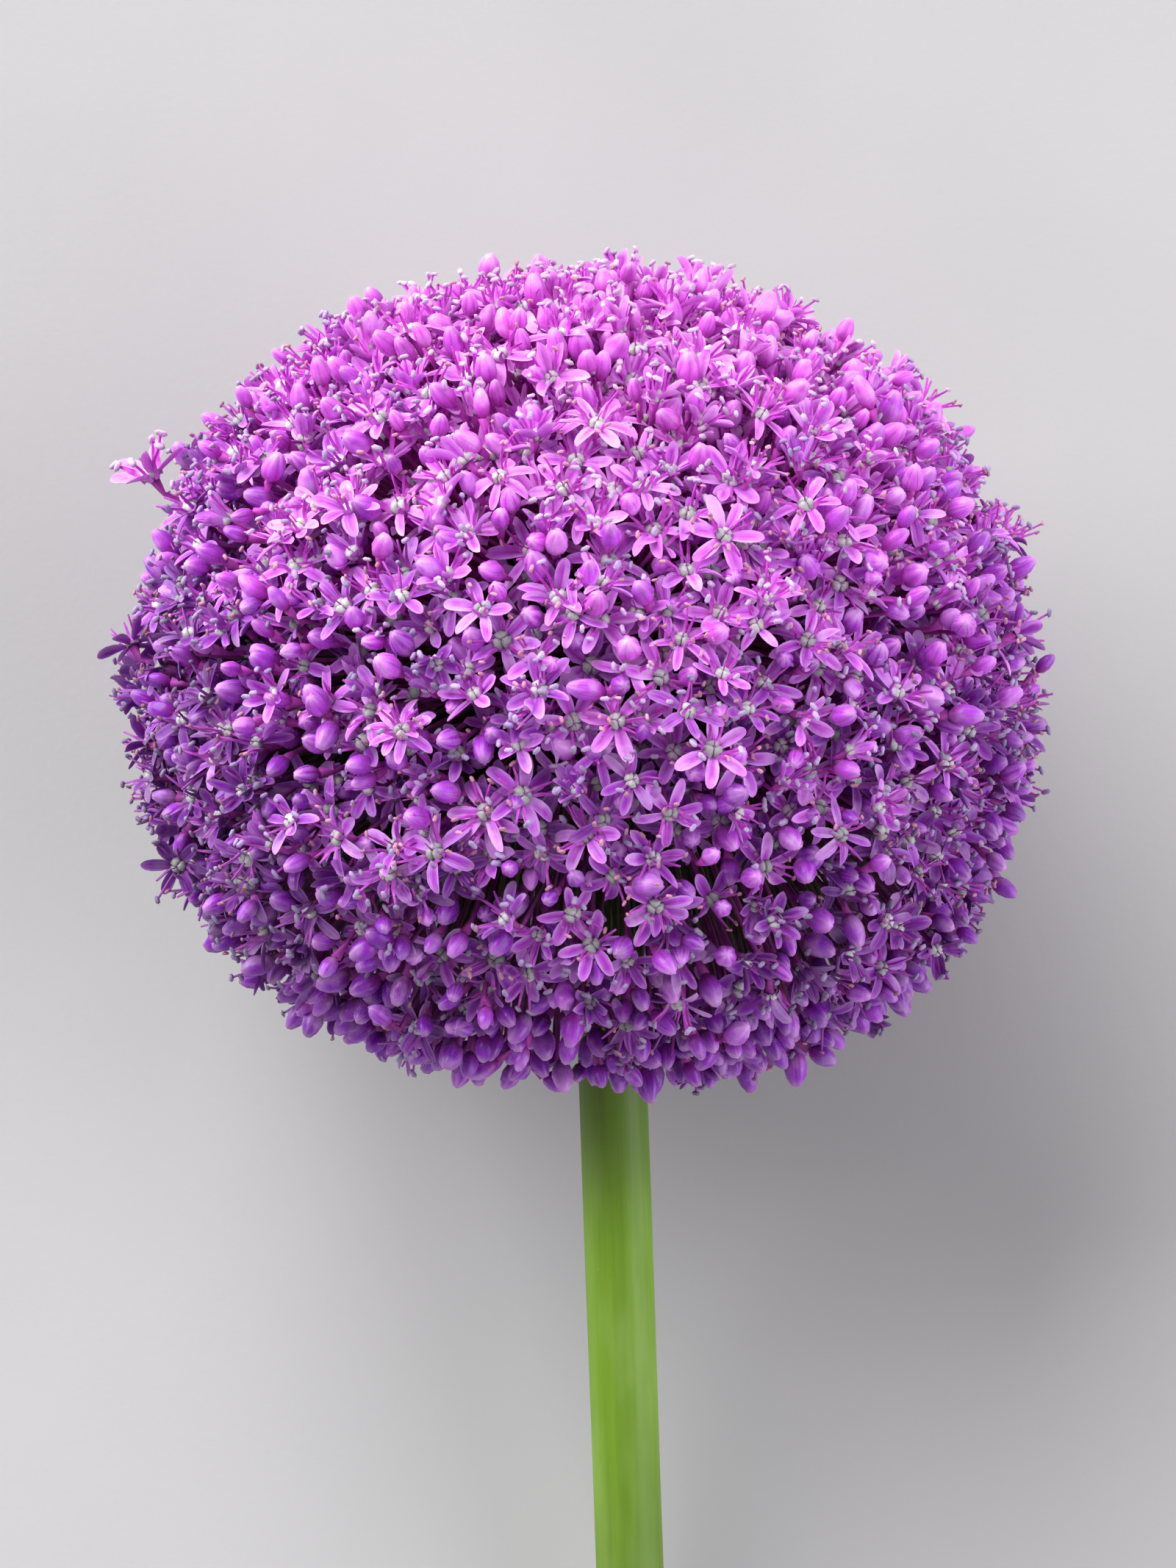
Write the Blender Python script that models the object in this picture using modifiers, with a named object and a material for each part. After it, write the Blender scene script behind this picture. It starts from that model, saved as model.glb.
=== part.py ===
"""Allium flower head, cut with a short length of scape and laid on its side.

The umbel is built in the plant's own frame: +Z runs up the scape, the origin is the middle of the
receptacle, and +X is the viewer's right. An empty then lays the whole plant down, so that the cut
end of the scape and the pressed underside of the umbel rest on the plane z = 0.

Units are metres.
"""

import math

import bmesh
import bpy
from mathutils import Matrix, Quaternion, Vector

# ---- Driving dimensions -------------------------------------------------------------------------
# The umbel, over its floret tips.
UMBEL_RADIUS = 0.0650  # square to the scape
UMBEL_HALF_HEIGHT = 0.0590  # along the scape
UMBEL_SQUARENESS = 2.15  # exponent of its outline: 2 is an ellipse, more has broader shoulders
UMBEL_LEAN = 0.0023  # how much further the umbel reaches on its -X side
UMBEL_SAG = 0.0060  # how much further it reaches low down on its +X side
LOWEST_FLORET = math.radians(161)  # polar angle of the florets that hang nearest the scape

# The scape and the receptacle, which is its swollen top.
SCAPE_RADIUS = 0.00495
SCAPE_LENGTH = 0.1650  # from the middle of the receptacle to the cut
SCAPE_LEAN = math.radians(2)  # the scape's foot stands towards +X
CUT_BEVEL = 0.0004
RECEPTACLE_RADIUS = 0.0090
RECEPTACLE_FOOT = math.radians(130)  # polar angle at which the receptacle turns into its neck
NECK_LENGTH = 0.0080  # from there down to the plain scape
TURNED_STEPS = 24
DOME_STEPS = 12
NECK_STEPS = 5

# The cymes, the partial clusters that an allium umbel is made of.
CYME_COUNT = 48
CYME_BASE_RADIUS = 0.00125
CYME_BASE_DEPTH = 0.0018
CYME_BASE_SIDES = 8
LOWEST_CYME_ROOT = math.radians(122)  # polar angle on the receptacle of the lowest cyme's base
GAP = 0.0003  # between pieces that touch

# The florets. Each stands for the few real ones that share its place.
FLORET_COUNT = 276
FLORET_SIDES = 6  # an allium flower has six tepals
OPEN_SHARE = 0.55  # of the florets that are open
PEDICEL_RADIUS = 0.00034
ROOT_SPREAD = 0.00085  # how far from its cyme's middle a pedicel starts
OPEN_RADIUS = 0.0046
OPEN_DEPTH = 0.0042
OVARY_HEIGHT = 0.0012
BUD_RADIUS = 0.0030
BUD_DEPTH = 0.0042
BUD_TIP = 0.0044
STRAY_DIRECTION = Vector((-0.89, -0.10, 0.44))  # one floret stands out past the others here
STRAY_REACH = 0.0050

# How the cut flower rests.
PRESSED_DEPTH = 0.0045  # how far the umbel's own weight presses its underside in
PRESS_SOFTNESS = 0.0018  # height over which the press fades out

GOLDEN_ANGLE = math.pi * (3 - math.sqrt(5))

TEPAL_VIOLET = (0.42, 0.09, 0.50)
SCAPE_GREEN = (0.20, 0.32, 0.07)


# ---- Scene helpers ------------------------------------------------------------------------------
def clear_scene():
    """Removes every object that the file opens with."""
    for old in list(bpy.data.objects):
        bpy.data.objects.remove(old)


def new_collection(name):
    """A collection of that name, linked into the scene."""
    collection = bpy.data.collections.new(name)
    bpy.context.scene.collection.children.link(collection)
    return collection


def new_material(name, colour, roughness):
    """A Principled material of one colour."""
    material = bpy.data.materials.new(name)
    material.use_nodes = True
    shader = material.node_tree.nodes["Principled BSDF"]
    shader.inputs["Base Color"].default_value = (*colour, 1.0)
    shader.inputs["Roughness"].default_value = roughness
    shader.inputs["Metallic"].default_value = 0.0
    return material


def new_object(name, bm, collection, parent, material=None):
    """Turns a bmesh into an object in that collection, under that parent."""
    mesh = bpy.data.meshes.new(name)
    bm.to_mesh(mesh)
    bm.free()
    obj = bpy.data.objects.new(name, mesh)
    obj.parent = parent
    collection.objects.link(obj)
    if material:
        mesh.materials.append(material)
    return obj


# ---- The umbel's form ---------------------------------------------------------------------------
def direction(polar, around):
    """The unit vector at that polar angle from +Z and that angle around it."""
    return Vector((
        math.sin(polar) * math.cos(around),
        math.sin(polar) * math.sin(around),
        math.cos(polar),
    ))


def spiral_directions(count):
    """Evenly spread directions from the umbel's top down to its lowest florets."""
    lowest = math.cos(LOWEST_FLORET)
    for i in range(count):
        height = 1 - (i + 0.5) / count * (1 - lowest)
        yield direction(math.acos(height), i * GOLDEN_ANGLE)


def umbel_reach(towards):
    """Distance from the receptacle's middle to the floret tips in that direction."""
    across = math.hypot(towards.x, towards.y) / UMBEL_RADIUS
    along = abs(towards.z) / UMBEL_HALF_HEIGHT
    reach = (across**UMBEL_SQUARENESS + along**UMBEL_SQUARENESS) ** (-1 / UMBEL_SQUARENESS)
    low = max(towards.x, 0) * max(-towards.z, 0)
    return reach - UMBEL_LEAN * towards.x + UMBEL_SAG * low


def root_direction(towards):
    """Where on the receptacle a pedicel for that direction starts: the low ones start higher up."""
    polar = math.acos(towards.z)
    around = math.atan2(towards.y, towards.x)
    return direction(polar * LOWEST_CYME_ROOT / LOWEST_FLORET, around)


def share_among_cymes():
    """The florets of each cyme, as (direction of its base, [floret tip, ...])."""
    cymes = list(spiral_directions(CYME_COUNT))
    florets = list(spiral_directions(FLORET_COUNT))
    stray = max(florets, key=lambda floret: floret.dot(STRAY_DIRECTION))
    shares = [(root_direction(cyme), []) for cyme in cymes]
    for floret in florets:
        reach = umbel_reach(floret) + (STRAY_REACH if floret is stray else 0)
        root = root_direction(floret)
        nearest = max(shares, key=lambda share: share[0].dot(root))
        nearest[1].append(floret * reach)
    return shares


# ---- Resting on the surface ---------------------------------------------------------------------
def laid_down(tilt, height):
    """Turns plant coordinates into the row frame: the scape's top rises by tilt."""
    turn = Matrix.Rotation(-(math.pi / 2 - tilt), 4, "X")
    return Matrix.Translation((0, 0, height)) @ turn


def resting_pose():
    """The (tilt, height) at which the umbel is pressed in and the scape's cut end touches down."""
    tips = [floret * umbel_reach(floret) for floret in spiral_directions(FLORET_COUNT)]
    low, high = 0.0, math.radians(45)
    for _ in range(40):
        tilt = (low + high) / 2
        turn = laid_down(tilt, 0)
        height = -min((turn @ tip).z for tip in tips) - PRESSED_DEPTH
        cut_drop = SCAPE_LENGTH * math.sin(tilt) + SCAPE_RADIUS * math.cos(tilt)
        low, high = (tilt, high) if height > cut_drop else (low, tilt)
    return tilt, height


def pressed_height(height):
    """Where a point of that height ends up once the umbel's underside is pressed on the surface."""
    return PRESS_SOFTNESS * math.log1p(math.exp(height / PRESS_SOFTNESS))


def press_on_surface(obj, floor):
    """Presses an object's low points on the surface; floor is what the lowest point ends up at."""
    to_row = obj.matrix_world.copy()
    to_own = to_row.inverted()
    for vertex in obj.data.vertices:
        point = to_row @ vertex.co
        point.z = pressed_height(point.z) - floor
        vertex.co = to_own @ point


# ---- The pieces ---------------------------------------------------------------------------------
def scape_profile():
    """The turned outline of scape and receptacle, as (radius, height) from the top pole down."""
    points = []
    for step in range(DOME_STEPS + 1):
        polar = RECEPTACLE_FOOT * step / DOME_STEPS
        points.append((RECEPTACLE_RADIUS * math.sin(polar), RECEPTACLE_RADIUS * math.cos(polar)))
    foot_radius, foot_height = points[-1]
    for step in range(1, NECK_STEPS + 1):
        share = step / NECK_STEPS
        flare = (1 - share) ** 2
        radius = SCAPE_RADIUS + (foot_radius - SCAPE_RADIUS) * flare
        points.append((radius, foot_height - NECK_LENGTH * share))
    points += [
        (SCAPE_RADIUS, -SCAPE_LENGTH / 2),
        (SCAPE_RADIUS, -SCAPE_LENGTH + CUT_BEVEL),
        (SCAPE_RADIUS - CUT_BEVEL, -SCAPE_LENGTH),
        (0.0, -SCAPE_LENGTH),
    ]
    return points


def build_scape(collection, plant, material):
    """The flower stalk with its receptacle: a turned profile that leans a little."""
    bm = bmesh.new()
    outline = [bm.verts.new((radius, 0, height)) for radius, height in scape_profile()]
    for upper, lower in zip(outline, outline[1:]):
        bm.edges.new((upper, lower))
    scape = new_object("scape", bm, collection, plant, material)
    scape.rotation_euler.y = -SCAPE_LEAN
    turned = scape.modifiers.new("turned", "SCREW")
    turned.steps = turned.render_steps = TURNED_STEPS
    turned.use_merge_vertices = True
    turned.merge_threshold = 0.00002
    return scape


def grow(bm, face, length, scale):
    """Extrudes a face along its normal and scales the new end. Returns the new end face."""
    along = face.normal.copy()
    made = bmesh.ops.extrude_discrete_faces(bm, faces=[face])
    end = made["faces"][0]
    middle = end.calc_center_median()
    for vertex in end.verts:
        vertex.co = middle + (vertex.co - middle) * scale + along * length
    end.normal_update()
    return end


def add_floret(bm, root, tip, is_open):
    """A pedicel from root with an open floret or a bud at its end, whose top is at tip."""
    axis = (tip - root).normalized()
    depth, radius = (OPEN_DEPTH, OPEN_RADIUS) if is_open else (BUD_DEPTH, BUD_RADIUS)
    point = OVARY_HEIGHT if is_open else BUD_TIP
    pedicel_length = (tip - root).length - depth - point
    middle = root + axis * pedicel_length / 2
    turn = Vector((0, 0, 1)).rotation_difference(axis).to_matrix().to_4x4()
    made = bmesh.ops.create_cone(
        bm,
        cap_ends=True,
        segments=FLORET_SIDES,
        radius1=PEDICEL_RADIUS,
        radius2=PEDICEL_RADIUS,
        depth=pedicel_length,
        matrix=Matrix.Translation(middle) @ turn,
    )
    faces = {face for vertex in made["verts"] for face in vertex.link_faces}
    end = max(faces, key=lambda face: face.calc_center_median().dot(axis))
    end.normal_update()
    rim = grow(bm, end, depth, radius / PEDICEL_RADIUS)
    bmesh.ops.poke(bm, faces=[rim], offset=point)


def build_cyme(name, root_axis, tips, parts, helpers, plant, material):
    """One cyme: its florets, joined at a small base that sits on the receptacle."""
    root_middle = root_axis * (RECEPTACLE_RADIUS + GAP + CYME_BASE_DEPTH / 2)
    offsets = [root_direction(tip.normalized()) - root_axis for tip in tips]
    widest = max(offset.length for offset in offsets)
    bm = bmesh.new()
    for number, (tip, offset) in enumerate(zip(tips, offsets), start=1):
        beside = offset - root_axis * offset.dot(root_axis)
        is_open = number * OPEN_SHARE % 1 < OPEN_SHARE
        add_floret(bm, root_middle + beside / widest * ROOT_SPREAD, tip, is_open)
    florets = new_object(name, bm, parts, plant, material)

    base = bmesh.new()
    bmesh.ops.create_cone(
        base,
        cap_ends=True,
        segments=CYME_BASE_SIDES,
        radius1=CYME_BASE_RADIUS,
        radius2=CYME_BASE_RADIUS,
        depth=CYME_BASE_DEPTH,
    )
    helper = new_object(name + "_base", base, helpers, plant)
    helper.location = root_middle
    helper.rotation_mode = "QUATERNION"
    helper.rotation_quaternion = Quaternion(Vector((0, 0, 1)).rotation_difference(root_axis))
    helper.hide_render = True
    helper.display_type = "WIRE"
    union = florets.modifiers.new("joined at the base", "BOOLEAN")
    union.operation = "UNION"
    union.use_self = True  # pedicels may also meet close to the base
    union.object = helper
    return florets


def row_box(objects):
    """Lowest and highest corner of the evaluated objects in the row frame."""
    graph = bpy.context.evaluated_depsgraph_get()
    points = []
    for obj in objects:
        evaluated = obj.evaluated_get(graph)
        points += [evaluated.matrix_world @ vertex.co for vertex in evaluated.data.vertices]
    low = Vector(min(point[axis] for point in points) for axis in range(3))
    high = Vector(max(point[axis] for point in points) for axis in range(3))
    return low, high


def main():
    """Builds the flower head and sets the middle of its underside at the origin."""
    clear_scene()
    parts = new_collection("allium_flower_head")
    helpers = new_collection("cyme_bases")
    tepal = new_material("tepal violet", TEPAL_VIOLET, 0.45)
    green = new_material("scape green", SCAPE_GREEN, 0.55)

    plant = bpy.data.objects.new("plant", None)
    bpy.context.scene.collection.objects.link(plant)
    tilt, height = resting_pose()
    plant.matrix_world = laid_down(tilt, height)

    scape = build_scape(parts, plant, green)
    cymes = [
        build_cyme(f"floret_cyme_{number:02d}", root_axis, tips, parts, helpers, plant, tepal)
        for number, (root_axis, tips) in enumerate(share_among_cymes(), start=1)
    ]
    bpy.context.view_layer.update()
    floor = pressed_height(-PRESSED_DEPTH)
    for cyme in cymes:
        press_on_surface(cyme, floor)

    bpy.context.view_layer.update()
    low, high = row_box([scape, *cymes])
    plant.location.x -= (low.x + high.x) / 2
    plant.location.y -= (low.y + high.y) / 2
    plant.location.z -= low.z
    bpy.context.view_layer.update()


main()
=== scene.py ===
"""The looks of an allium flower head, cut with a short length of scape and laid on its side.

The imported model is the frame: it gives the middle of the receptacle, the length of the scape, the
angle at which the plant lies and the size of the umbel. The detailed pieces are modelled in plant
coordinates: +Z runs up the scape from the middle of the receptacle, +X is the viewer's right and
-Y is the side that faces up. PlantFrame turns them into the row frame, where +Z is up and the
surface that the flower lies on is z = 0.

Units are metres and radians.
"""

import logging
import math
from collections.abc import Iterator, Sequence
from dataclasses import dataclass, field
from enum import Enum

import bpy
import numpy as np
from mathutils import Matrix, Vector

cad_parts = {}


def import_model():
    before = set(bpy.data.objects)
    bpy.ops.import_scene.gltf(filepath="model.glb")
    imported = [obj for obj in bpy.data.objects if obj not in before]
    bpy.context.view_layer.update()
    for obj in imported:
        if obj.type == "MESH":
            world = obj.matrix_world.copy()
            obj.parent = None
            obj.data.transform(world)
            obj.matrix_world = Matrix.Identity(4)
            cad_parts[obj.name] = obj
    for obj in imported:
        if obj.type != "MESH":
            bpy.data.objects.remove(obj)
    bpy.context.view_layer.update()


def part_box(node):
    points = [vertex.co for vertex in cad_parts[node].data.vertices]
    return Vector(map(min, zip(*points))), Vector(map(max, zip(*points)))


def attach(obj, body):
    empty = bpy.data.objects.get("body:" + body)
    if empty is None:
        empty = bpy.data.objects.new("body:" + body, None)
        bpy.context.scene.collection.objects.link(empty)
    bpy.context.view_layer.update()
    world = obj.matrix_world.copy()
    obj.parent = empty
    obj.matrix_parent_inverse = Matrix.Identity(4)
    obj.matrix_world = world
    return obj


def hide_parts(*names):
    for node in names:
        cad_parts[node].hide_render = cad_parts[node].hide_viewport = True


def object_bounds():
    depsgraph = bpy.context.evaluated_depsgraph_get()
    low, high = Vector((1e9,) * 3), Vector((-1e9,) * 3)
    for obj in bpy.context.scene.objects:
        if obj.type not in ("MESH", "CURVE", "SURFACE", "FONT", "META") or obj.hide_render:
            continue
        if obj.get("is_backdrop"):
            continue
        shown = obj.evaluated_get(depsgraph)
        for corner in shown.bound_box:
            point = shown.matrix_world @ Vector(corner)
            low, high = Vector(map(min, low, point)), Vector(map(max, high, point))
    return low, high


MM = 0.001
GOLDEN_ANGLE = math.pi * (3 - math.sqrt(5))
SHARP_ANGLE = math.radians(100)  # only the margins of the thin blades are sharper
SEED = 48
STALK_GLOSS = 0.3  # how strongly filaments, pedicels and the scape reflect
BODY = "root"

Array = np.ndarray
Colour = tuple[float, float, float]
Socket = bpy.types.NodeSocket

log = logging.getLogger("allium")


# ---- Small helpers ------------------------------------------------------------------------------
def unit(vectors: Array) -> Array:
    """Scales vectors to length one.

    Args:
        vectors: Vectors along the last axis.

    Returns:
        The same directions, each of length one.
    """
    return vectors / np.maximum(np.linalg.norm(vectors, axis=-1, keepdims=True), 1e-12)


def smooth_step(value: Array | float, low: float, high: float) -> Array | float:
    """Rises smoothly from 0 to 1.

    Args:
        value: What to map.
        low: Value at which the result is 0.
        high: Value at which the result is 1.

    Returns:
        The mapped value, from 0 to 1.
    """
    share = np.clip((value - low) / (high - low), 0.0, 1.0)
    return share * share * (3 - 2 * share)


def across_from(axis: Array) -> Array:
    """A unit vector square to axis.

    Args:
        axis: A unit vector.

    Returns:
        One of the unit vectors square to it.
    """
    helper = np.eye(3)[int(np.argmin(np.abs(axis)))]
    return unit(np.cross(axis, helper))


# ---- Meshes -------------------------------------------------------------------------------------
class Tissue(Enum):
    """What a face is made of."""

    TEPAL = "tepal"
    BUD = "bud"
    FILAMENT = "filament"
    ANTHER = "anther"
    OVARY = "ovary"
    PEDICEL = "pedicel"
    SCAPE = "scape"
    PITH = "pith"


@dataclass
class Patch:
    """A stretch of mesh of one tissue.

    Attributes:
        points: Vertices, one a row.
        quads: Vertex numbers of its four-cornered faces.
        triangles: Vertex numbers of its three-cornered faces.
        grain: Three values a vertex that the finishes read, such as across and along a tepal.
        tissue: What it is made of.
    """

    points: Array
    quads: Array
    triangles: Array
    grain: Array
    tissue: Tissue

    def placed(self, origin: Array, basis: Array) -> "Patch":
        """The patch moved so that its own axes lie along the rows of basis, from origin."""
        return Patch(self.points @ basis + origin, self.quads, self.triangles, self.grain, self.tissue)


@dataclass
class Bunch:
    """Patches that together make one piece.

    Attributes:
        patches: The patches so far.
    """

    patches: list[Patch] = field(default_factory=list)

    def add(self, *patches: Patch) -> None:
        """Adds patches to the piece."""
        self.patches.extend(patches)

    def mesh(self, name: str, wardrobe: "Wardrobe") -> bpy.types.Mesh:
        """Joins the patches in one mesh and dresses it.

        Args:
            name: Name of the mesh.
            wardrobe: Where each tissue's material comes from.

        Returns:
            The mesh, with smooth faces apart from its thin margins.
        """
        tissues = sorted({patch.tissue for patch in self.patches}, key=lambda tissue: tissue.value)
        starts = np.cumsum([0] + [len(patch.points) for patch in self.patches])
        quads = np.concatenate([p.quads + s for p, s in zip(self.patches, starts)])
        triangles = np.concatenate([p.triangles + s for p, s in zip(self.patches, starts)])
        quad_slots = [np.full(len(p.quads), tissues.index(p.tissue)) for p in self.patches]
        triangle_slots = [np.full(len(p.triangles), tissues.index(p.tissue)) for p in self.patches]
        corners = np.concatenate([quads.ravel(), triangles.ravel()])
        first = np.concatenate([
            np.arange(len(quads)) * 4,
            len(quads) * 4 + np.arange(len(triangles)) * 3,
        ])

        mesh = bpy.data.meshes.new(name)
        mesh.vertices.add(int(starts[-1]))
        mesh.vertices.foreach_set("co", np.concatenate([p.points for p in self.patches]).ravel())
        mesh.loops.add(len(corners))
        mesh.loops.foreach_set("vertex_index", corners.astype(np.int32))
        mesh.polygons.add(len(first))
        mesh.polygons.foreach_set("loop_start", first.astype(np.int32))
        slots = np.concatenate(quad_slots + triangle_slots)
        mesh.polygons.foreach_set("material_index", slots.astype(np.int32))
        mesh.update(calc_edges=True)
        mesh.polygons.foreach_set("use_smooth", np.ones(len(first), bool))
        mesh.set_sharp_from_angle(angle=SHARP_ANGLE)
        grain = mesh.attributes.new("grain", "FLOAT_VECTOR", "POINT")
        values = np.concatenate([p.grain for p in self.patches])
        grain.data.foreach_set("vector", values.ravel().astype(np.float32))
        for tissue in tissues:
            mesh.materials.append(wardrobe.material(tissue))
        return mesh


def show(name: str, mesh: bpy.types.Mesh) -> bpy.types.Object:
    """Puts a mesh in the scene.

    Args:
        name: Name of the piece.
        mesh: Its mesh, in the row frame.

    Returns:
        The new object.
    """
    piece = bpy.data.objects.new(name, mesh)
    bpy.context.scene.collection.objects.link(piece)
    return piece


def sleeve(rings: int, sides: int, start: int = 0) -> Array:
    """The faces between rings of vertices, one ring after another.

    Args:
        rings: How many rings there are.
        sides: How many vertices a ring has.
        start: Number of the first vertex.

    Returns:
        Quads that face outwards where a ring runs anticlockwise seen from the last ring.
    """
    ring, side = np.meshgrid(np.arange(rings - 1), np.arange(sides), indexing="ij")
    here = start + ring * sides + side
    beside = start + ring * sides + (side + 1) % sides
    return np.stack([here, beside, beside + sides, here + sides], -1).reshape(-1, 4)


def fan(ring: Sequence[int], flipped: bool) -> Array:
    """Triangles that close a ring of vertices.

    Args:
        ring: The ring's vertex numbers.
        flipped: Whether it closes the first end of a sleeve, and so faces the other way.

    Returns:
        The triangles.
    """
    faces = np.array([(ring[0], ring[i], ring[i + 1]) for i in range(1, len(ring) - 1)])
    return faces[:, ::-1] if flipped else faces


def cone_faces(ring: Sequence[int], tip: int, flipped: bool) -> Array:
    """Triangles from a ring to a single point.

    Args:
        ring: The ring's vertex numbers.
        tip: Vertex number of the point.
        flipped: Whether the point lies before the ring, and so the faces turn the other way.

    Returns:
        The triangles.
    """
    ring = np.asarray(ring)
    faces = np.stack([ring, np.roll(ring, -1), np.full(len(ring), tip)], -1)
    return faces[:, ::-1] if flipped else faces


def tube(path: Array, radii: Array, sides: int, aside: Array) -> Array:
    """Rings of vertices along a path.

    Args:
        path: Points along the middle.
        radii: The radius at each point.
        sides: Vertices a ring.
        aside: A direction that the path never runs along.

    Returns:
        The vertices, ring after ring.
    """
    along = unit(np.gradient(path, axis=0))
    first = unit(np.cross(along, aside))
    second = np.cross(along, first)
    turn = np.arange(sides) * 2 * math.pi / sides
    ring = np.cos(turn)[None, :, None] * first[:, None] + np.sin(turn)[None, :, None] * second[:, None]
    return (path[:, None] + ring * radii[:, None, None]).reshape(-1, 3)


# ---- Finishes -----------------------------------------------------------------------------------
class Painter:
    """Builds the node tree of one material."""

    SHADED_TONES = (0.36, 0.86)  # painted shade: between these tones the florets darken to their lowest
    MIDDLE_NOISE = (0.3, 0.7)  # a range of noise that leaves its ends even
    MOST_NOISE = (0.2, 0.8)  # and one that takes in nearly all of it

    def __init__(self, name: str) -> None:
        """Starts a material with one Principled shader.

        Args:
            name: Name of the material.
        """
        self.material = bpy.data.materials.new(name)
        self.material.use_nodes = True
        self.tree = self.material.node_tree
        self.shader = self.tree.nodes["Principled BSDF"]

    def _feed(self, socket: Socket, value: Socket | float | Colour) -> None:
        """Links a socket or sets a constant on it.

        Args:
            socket: The input to feed.
            value: Another node's output, or the constant.
        """
        if isinstance(value, Socket):
            self.tree.links.new(value, socket)
        elif isinstance(value, tuple):
            socket.default_value = (*value, 1.0) if socket.type == "RGBA" else value
        else:
            socket.default_value = value

    def _node(self, kind: str, inputs: dict[int | str, object], **settings: object) -> bpy.types.Node:
        """Adds a node, sets it up and feeds its inputs.

        Args:
            kind: The identifier of its type.
            inputs: What to feed to each input, by its name or number.
            **settings: The node's own settings.

        Returns:
            The node.
        """
        node = self.tree.nodes.new(kind)
        for key, value in settings.items():
            setattr(node, key, value)
        for key, value in inputs.items():
            self._feed(node.inputs[key], value)
        return node

    def grain(self) -> tuple[Socket, Socket, Socket]:
        """Reads the grain attribute.

        Returns:
            Its three values.
        """
        attribute = self._node("ShaderNodeAttribute", {}, attribute_name="grain")
        split = self._node("ShaderNodeSeparateXYZ", {0: attribute.outputs["Vector"]})
        return split.outputs[0], split.outputs[1], split.outputs[2]

    def place(self) -> Socket:
        """Coordinates in metres, fixed to the object."""
        return self._node("ShaderNodeTexCoord", {}).outputs["Object"]

    def vector(self, x: Socket | float, y: Socket | float, z: Socket | float) -> Socket:
        """A vector from three values."""
        return self._node("ShaderNodeCombineXYZ", {0: x, 1: y, 2: z}).outputs[0]

    def math(self, operation: str, a: Socket | float, b: Socket | float = 0.0) -> Socket:
        """The result of a Math node."""
        return self._node("ShaderNodeMath", {0: a, 1: b}, operation=operation).outputs[0]

    def span(self, value: Socket, low: float, high: float, to: float = 1.0, start: float = 0.0) -> Socket:
        """A value mapped smoothly, so that low gives start and high gives to."""
        inputs = {"Value": value, "From Min": low, "From Max": high, "To Min": start, "To Max": to}
        return self._node("ShaderNodeMapRange", inputs, interpolation_type="SMOOTHSTEP").outputs[0]

    def noise(self, vector: Socket, scale: float, detail: float = 2.0) -> Socket:
        """Noise from 0 to 1: a higher scale gives smaller spots, and more detail sharper ones."""
        inputs = {"Vector": vector, "Scale": scale, "Detail": detail}
        return self._node("ShaderNodeTexNoise", inputs).outputs[0]

    def blend(self, share: Socket, a: Socket | Colour, b: Socket | Colour) -> Socket:
        """Colour a, turning to b as share goes from 0 to 1."""
        node = self._node("ShaderNodeMix", {0: share, 6: a, 7: b}, data_type="RGBA")
        return node.outputs[2]

    def times(self, colour: Socket | Colour, factor: Socket) -> Socket:
        """A colour made lighter or darker by a factor."""
        node = self._node("ShaderNodeVectorMath", {0: colour, "Scale": factor}, operation="SCALE")
        return node.outputs[0]

    def mottled(self, colour: Socket, spots: Socket, light: float, dark: float) -> Socket:
        """A colour made lighter where spots is high and darker where it is low."""
        return self.times(colour, self.span(spots, *self.MIDDLE_NOISE, light, dark))

    def roughness(self, spots: Socket, rough: float, smooth: float) -> Socket:
        """A roughness that follows spots, from smooth where it is low to rough where it is high."""
        return self.span(spots, *self.MOST_NOISE, rough, smooth)

    def lit_from_above(self, colour: Socket, tone: Socket, lowest: float) -> Socket:
        """Painted shade: deepens a colour from the top of the umbel, at tone 0, to its lowest florets, at
        tone 1.
        """
        return self.times(colour, self.span(tone, *self.SHADED_TONES, lowest, 1.0))

    def finish(
        self,
        colour: Socket,
        roughness: Socket,
        height: Socket,
        relief: float,
        **constants: float | Colour,
    ) -> bpy.types.Material:
        """Feeds the shader and returns the material.

        Args:
            colour: Base colour.
            roughness: Roughness.
            height: Surface height from 0 to 1, for the bump.
            relief: What a height of 1 stands for, in metres.
            **constants: Other inputs of the shader, with _ for a space.

        Returns:
            The material.
        """
        self._feed(self.shader.inputs["Base Color"], colour)
        self._feed(self.shader.inputs["Roughness"], roughness)
        bump = self._node("ShaderNodeBump", {"Height": height, "Distance": relief, "Strength": 1.0})
        self._feed(self.shader.inputs["Normal"], bump.outputs[0])
        for name, value in constants.items():
            self.shader.inputs[name.replace("_", " ")].default_value = value
        return self.material


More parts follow.
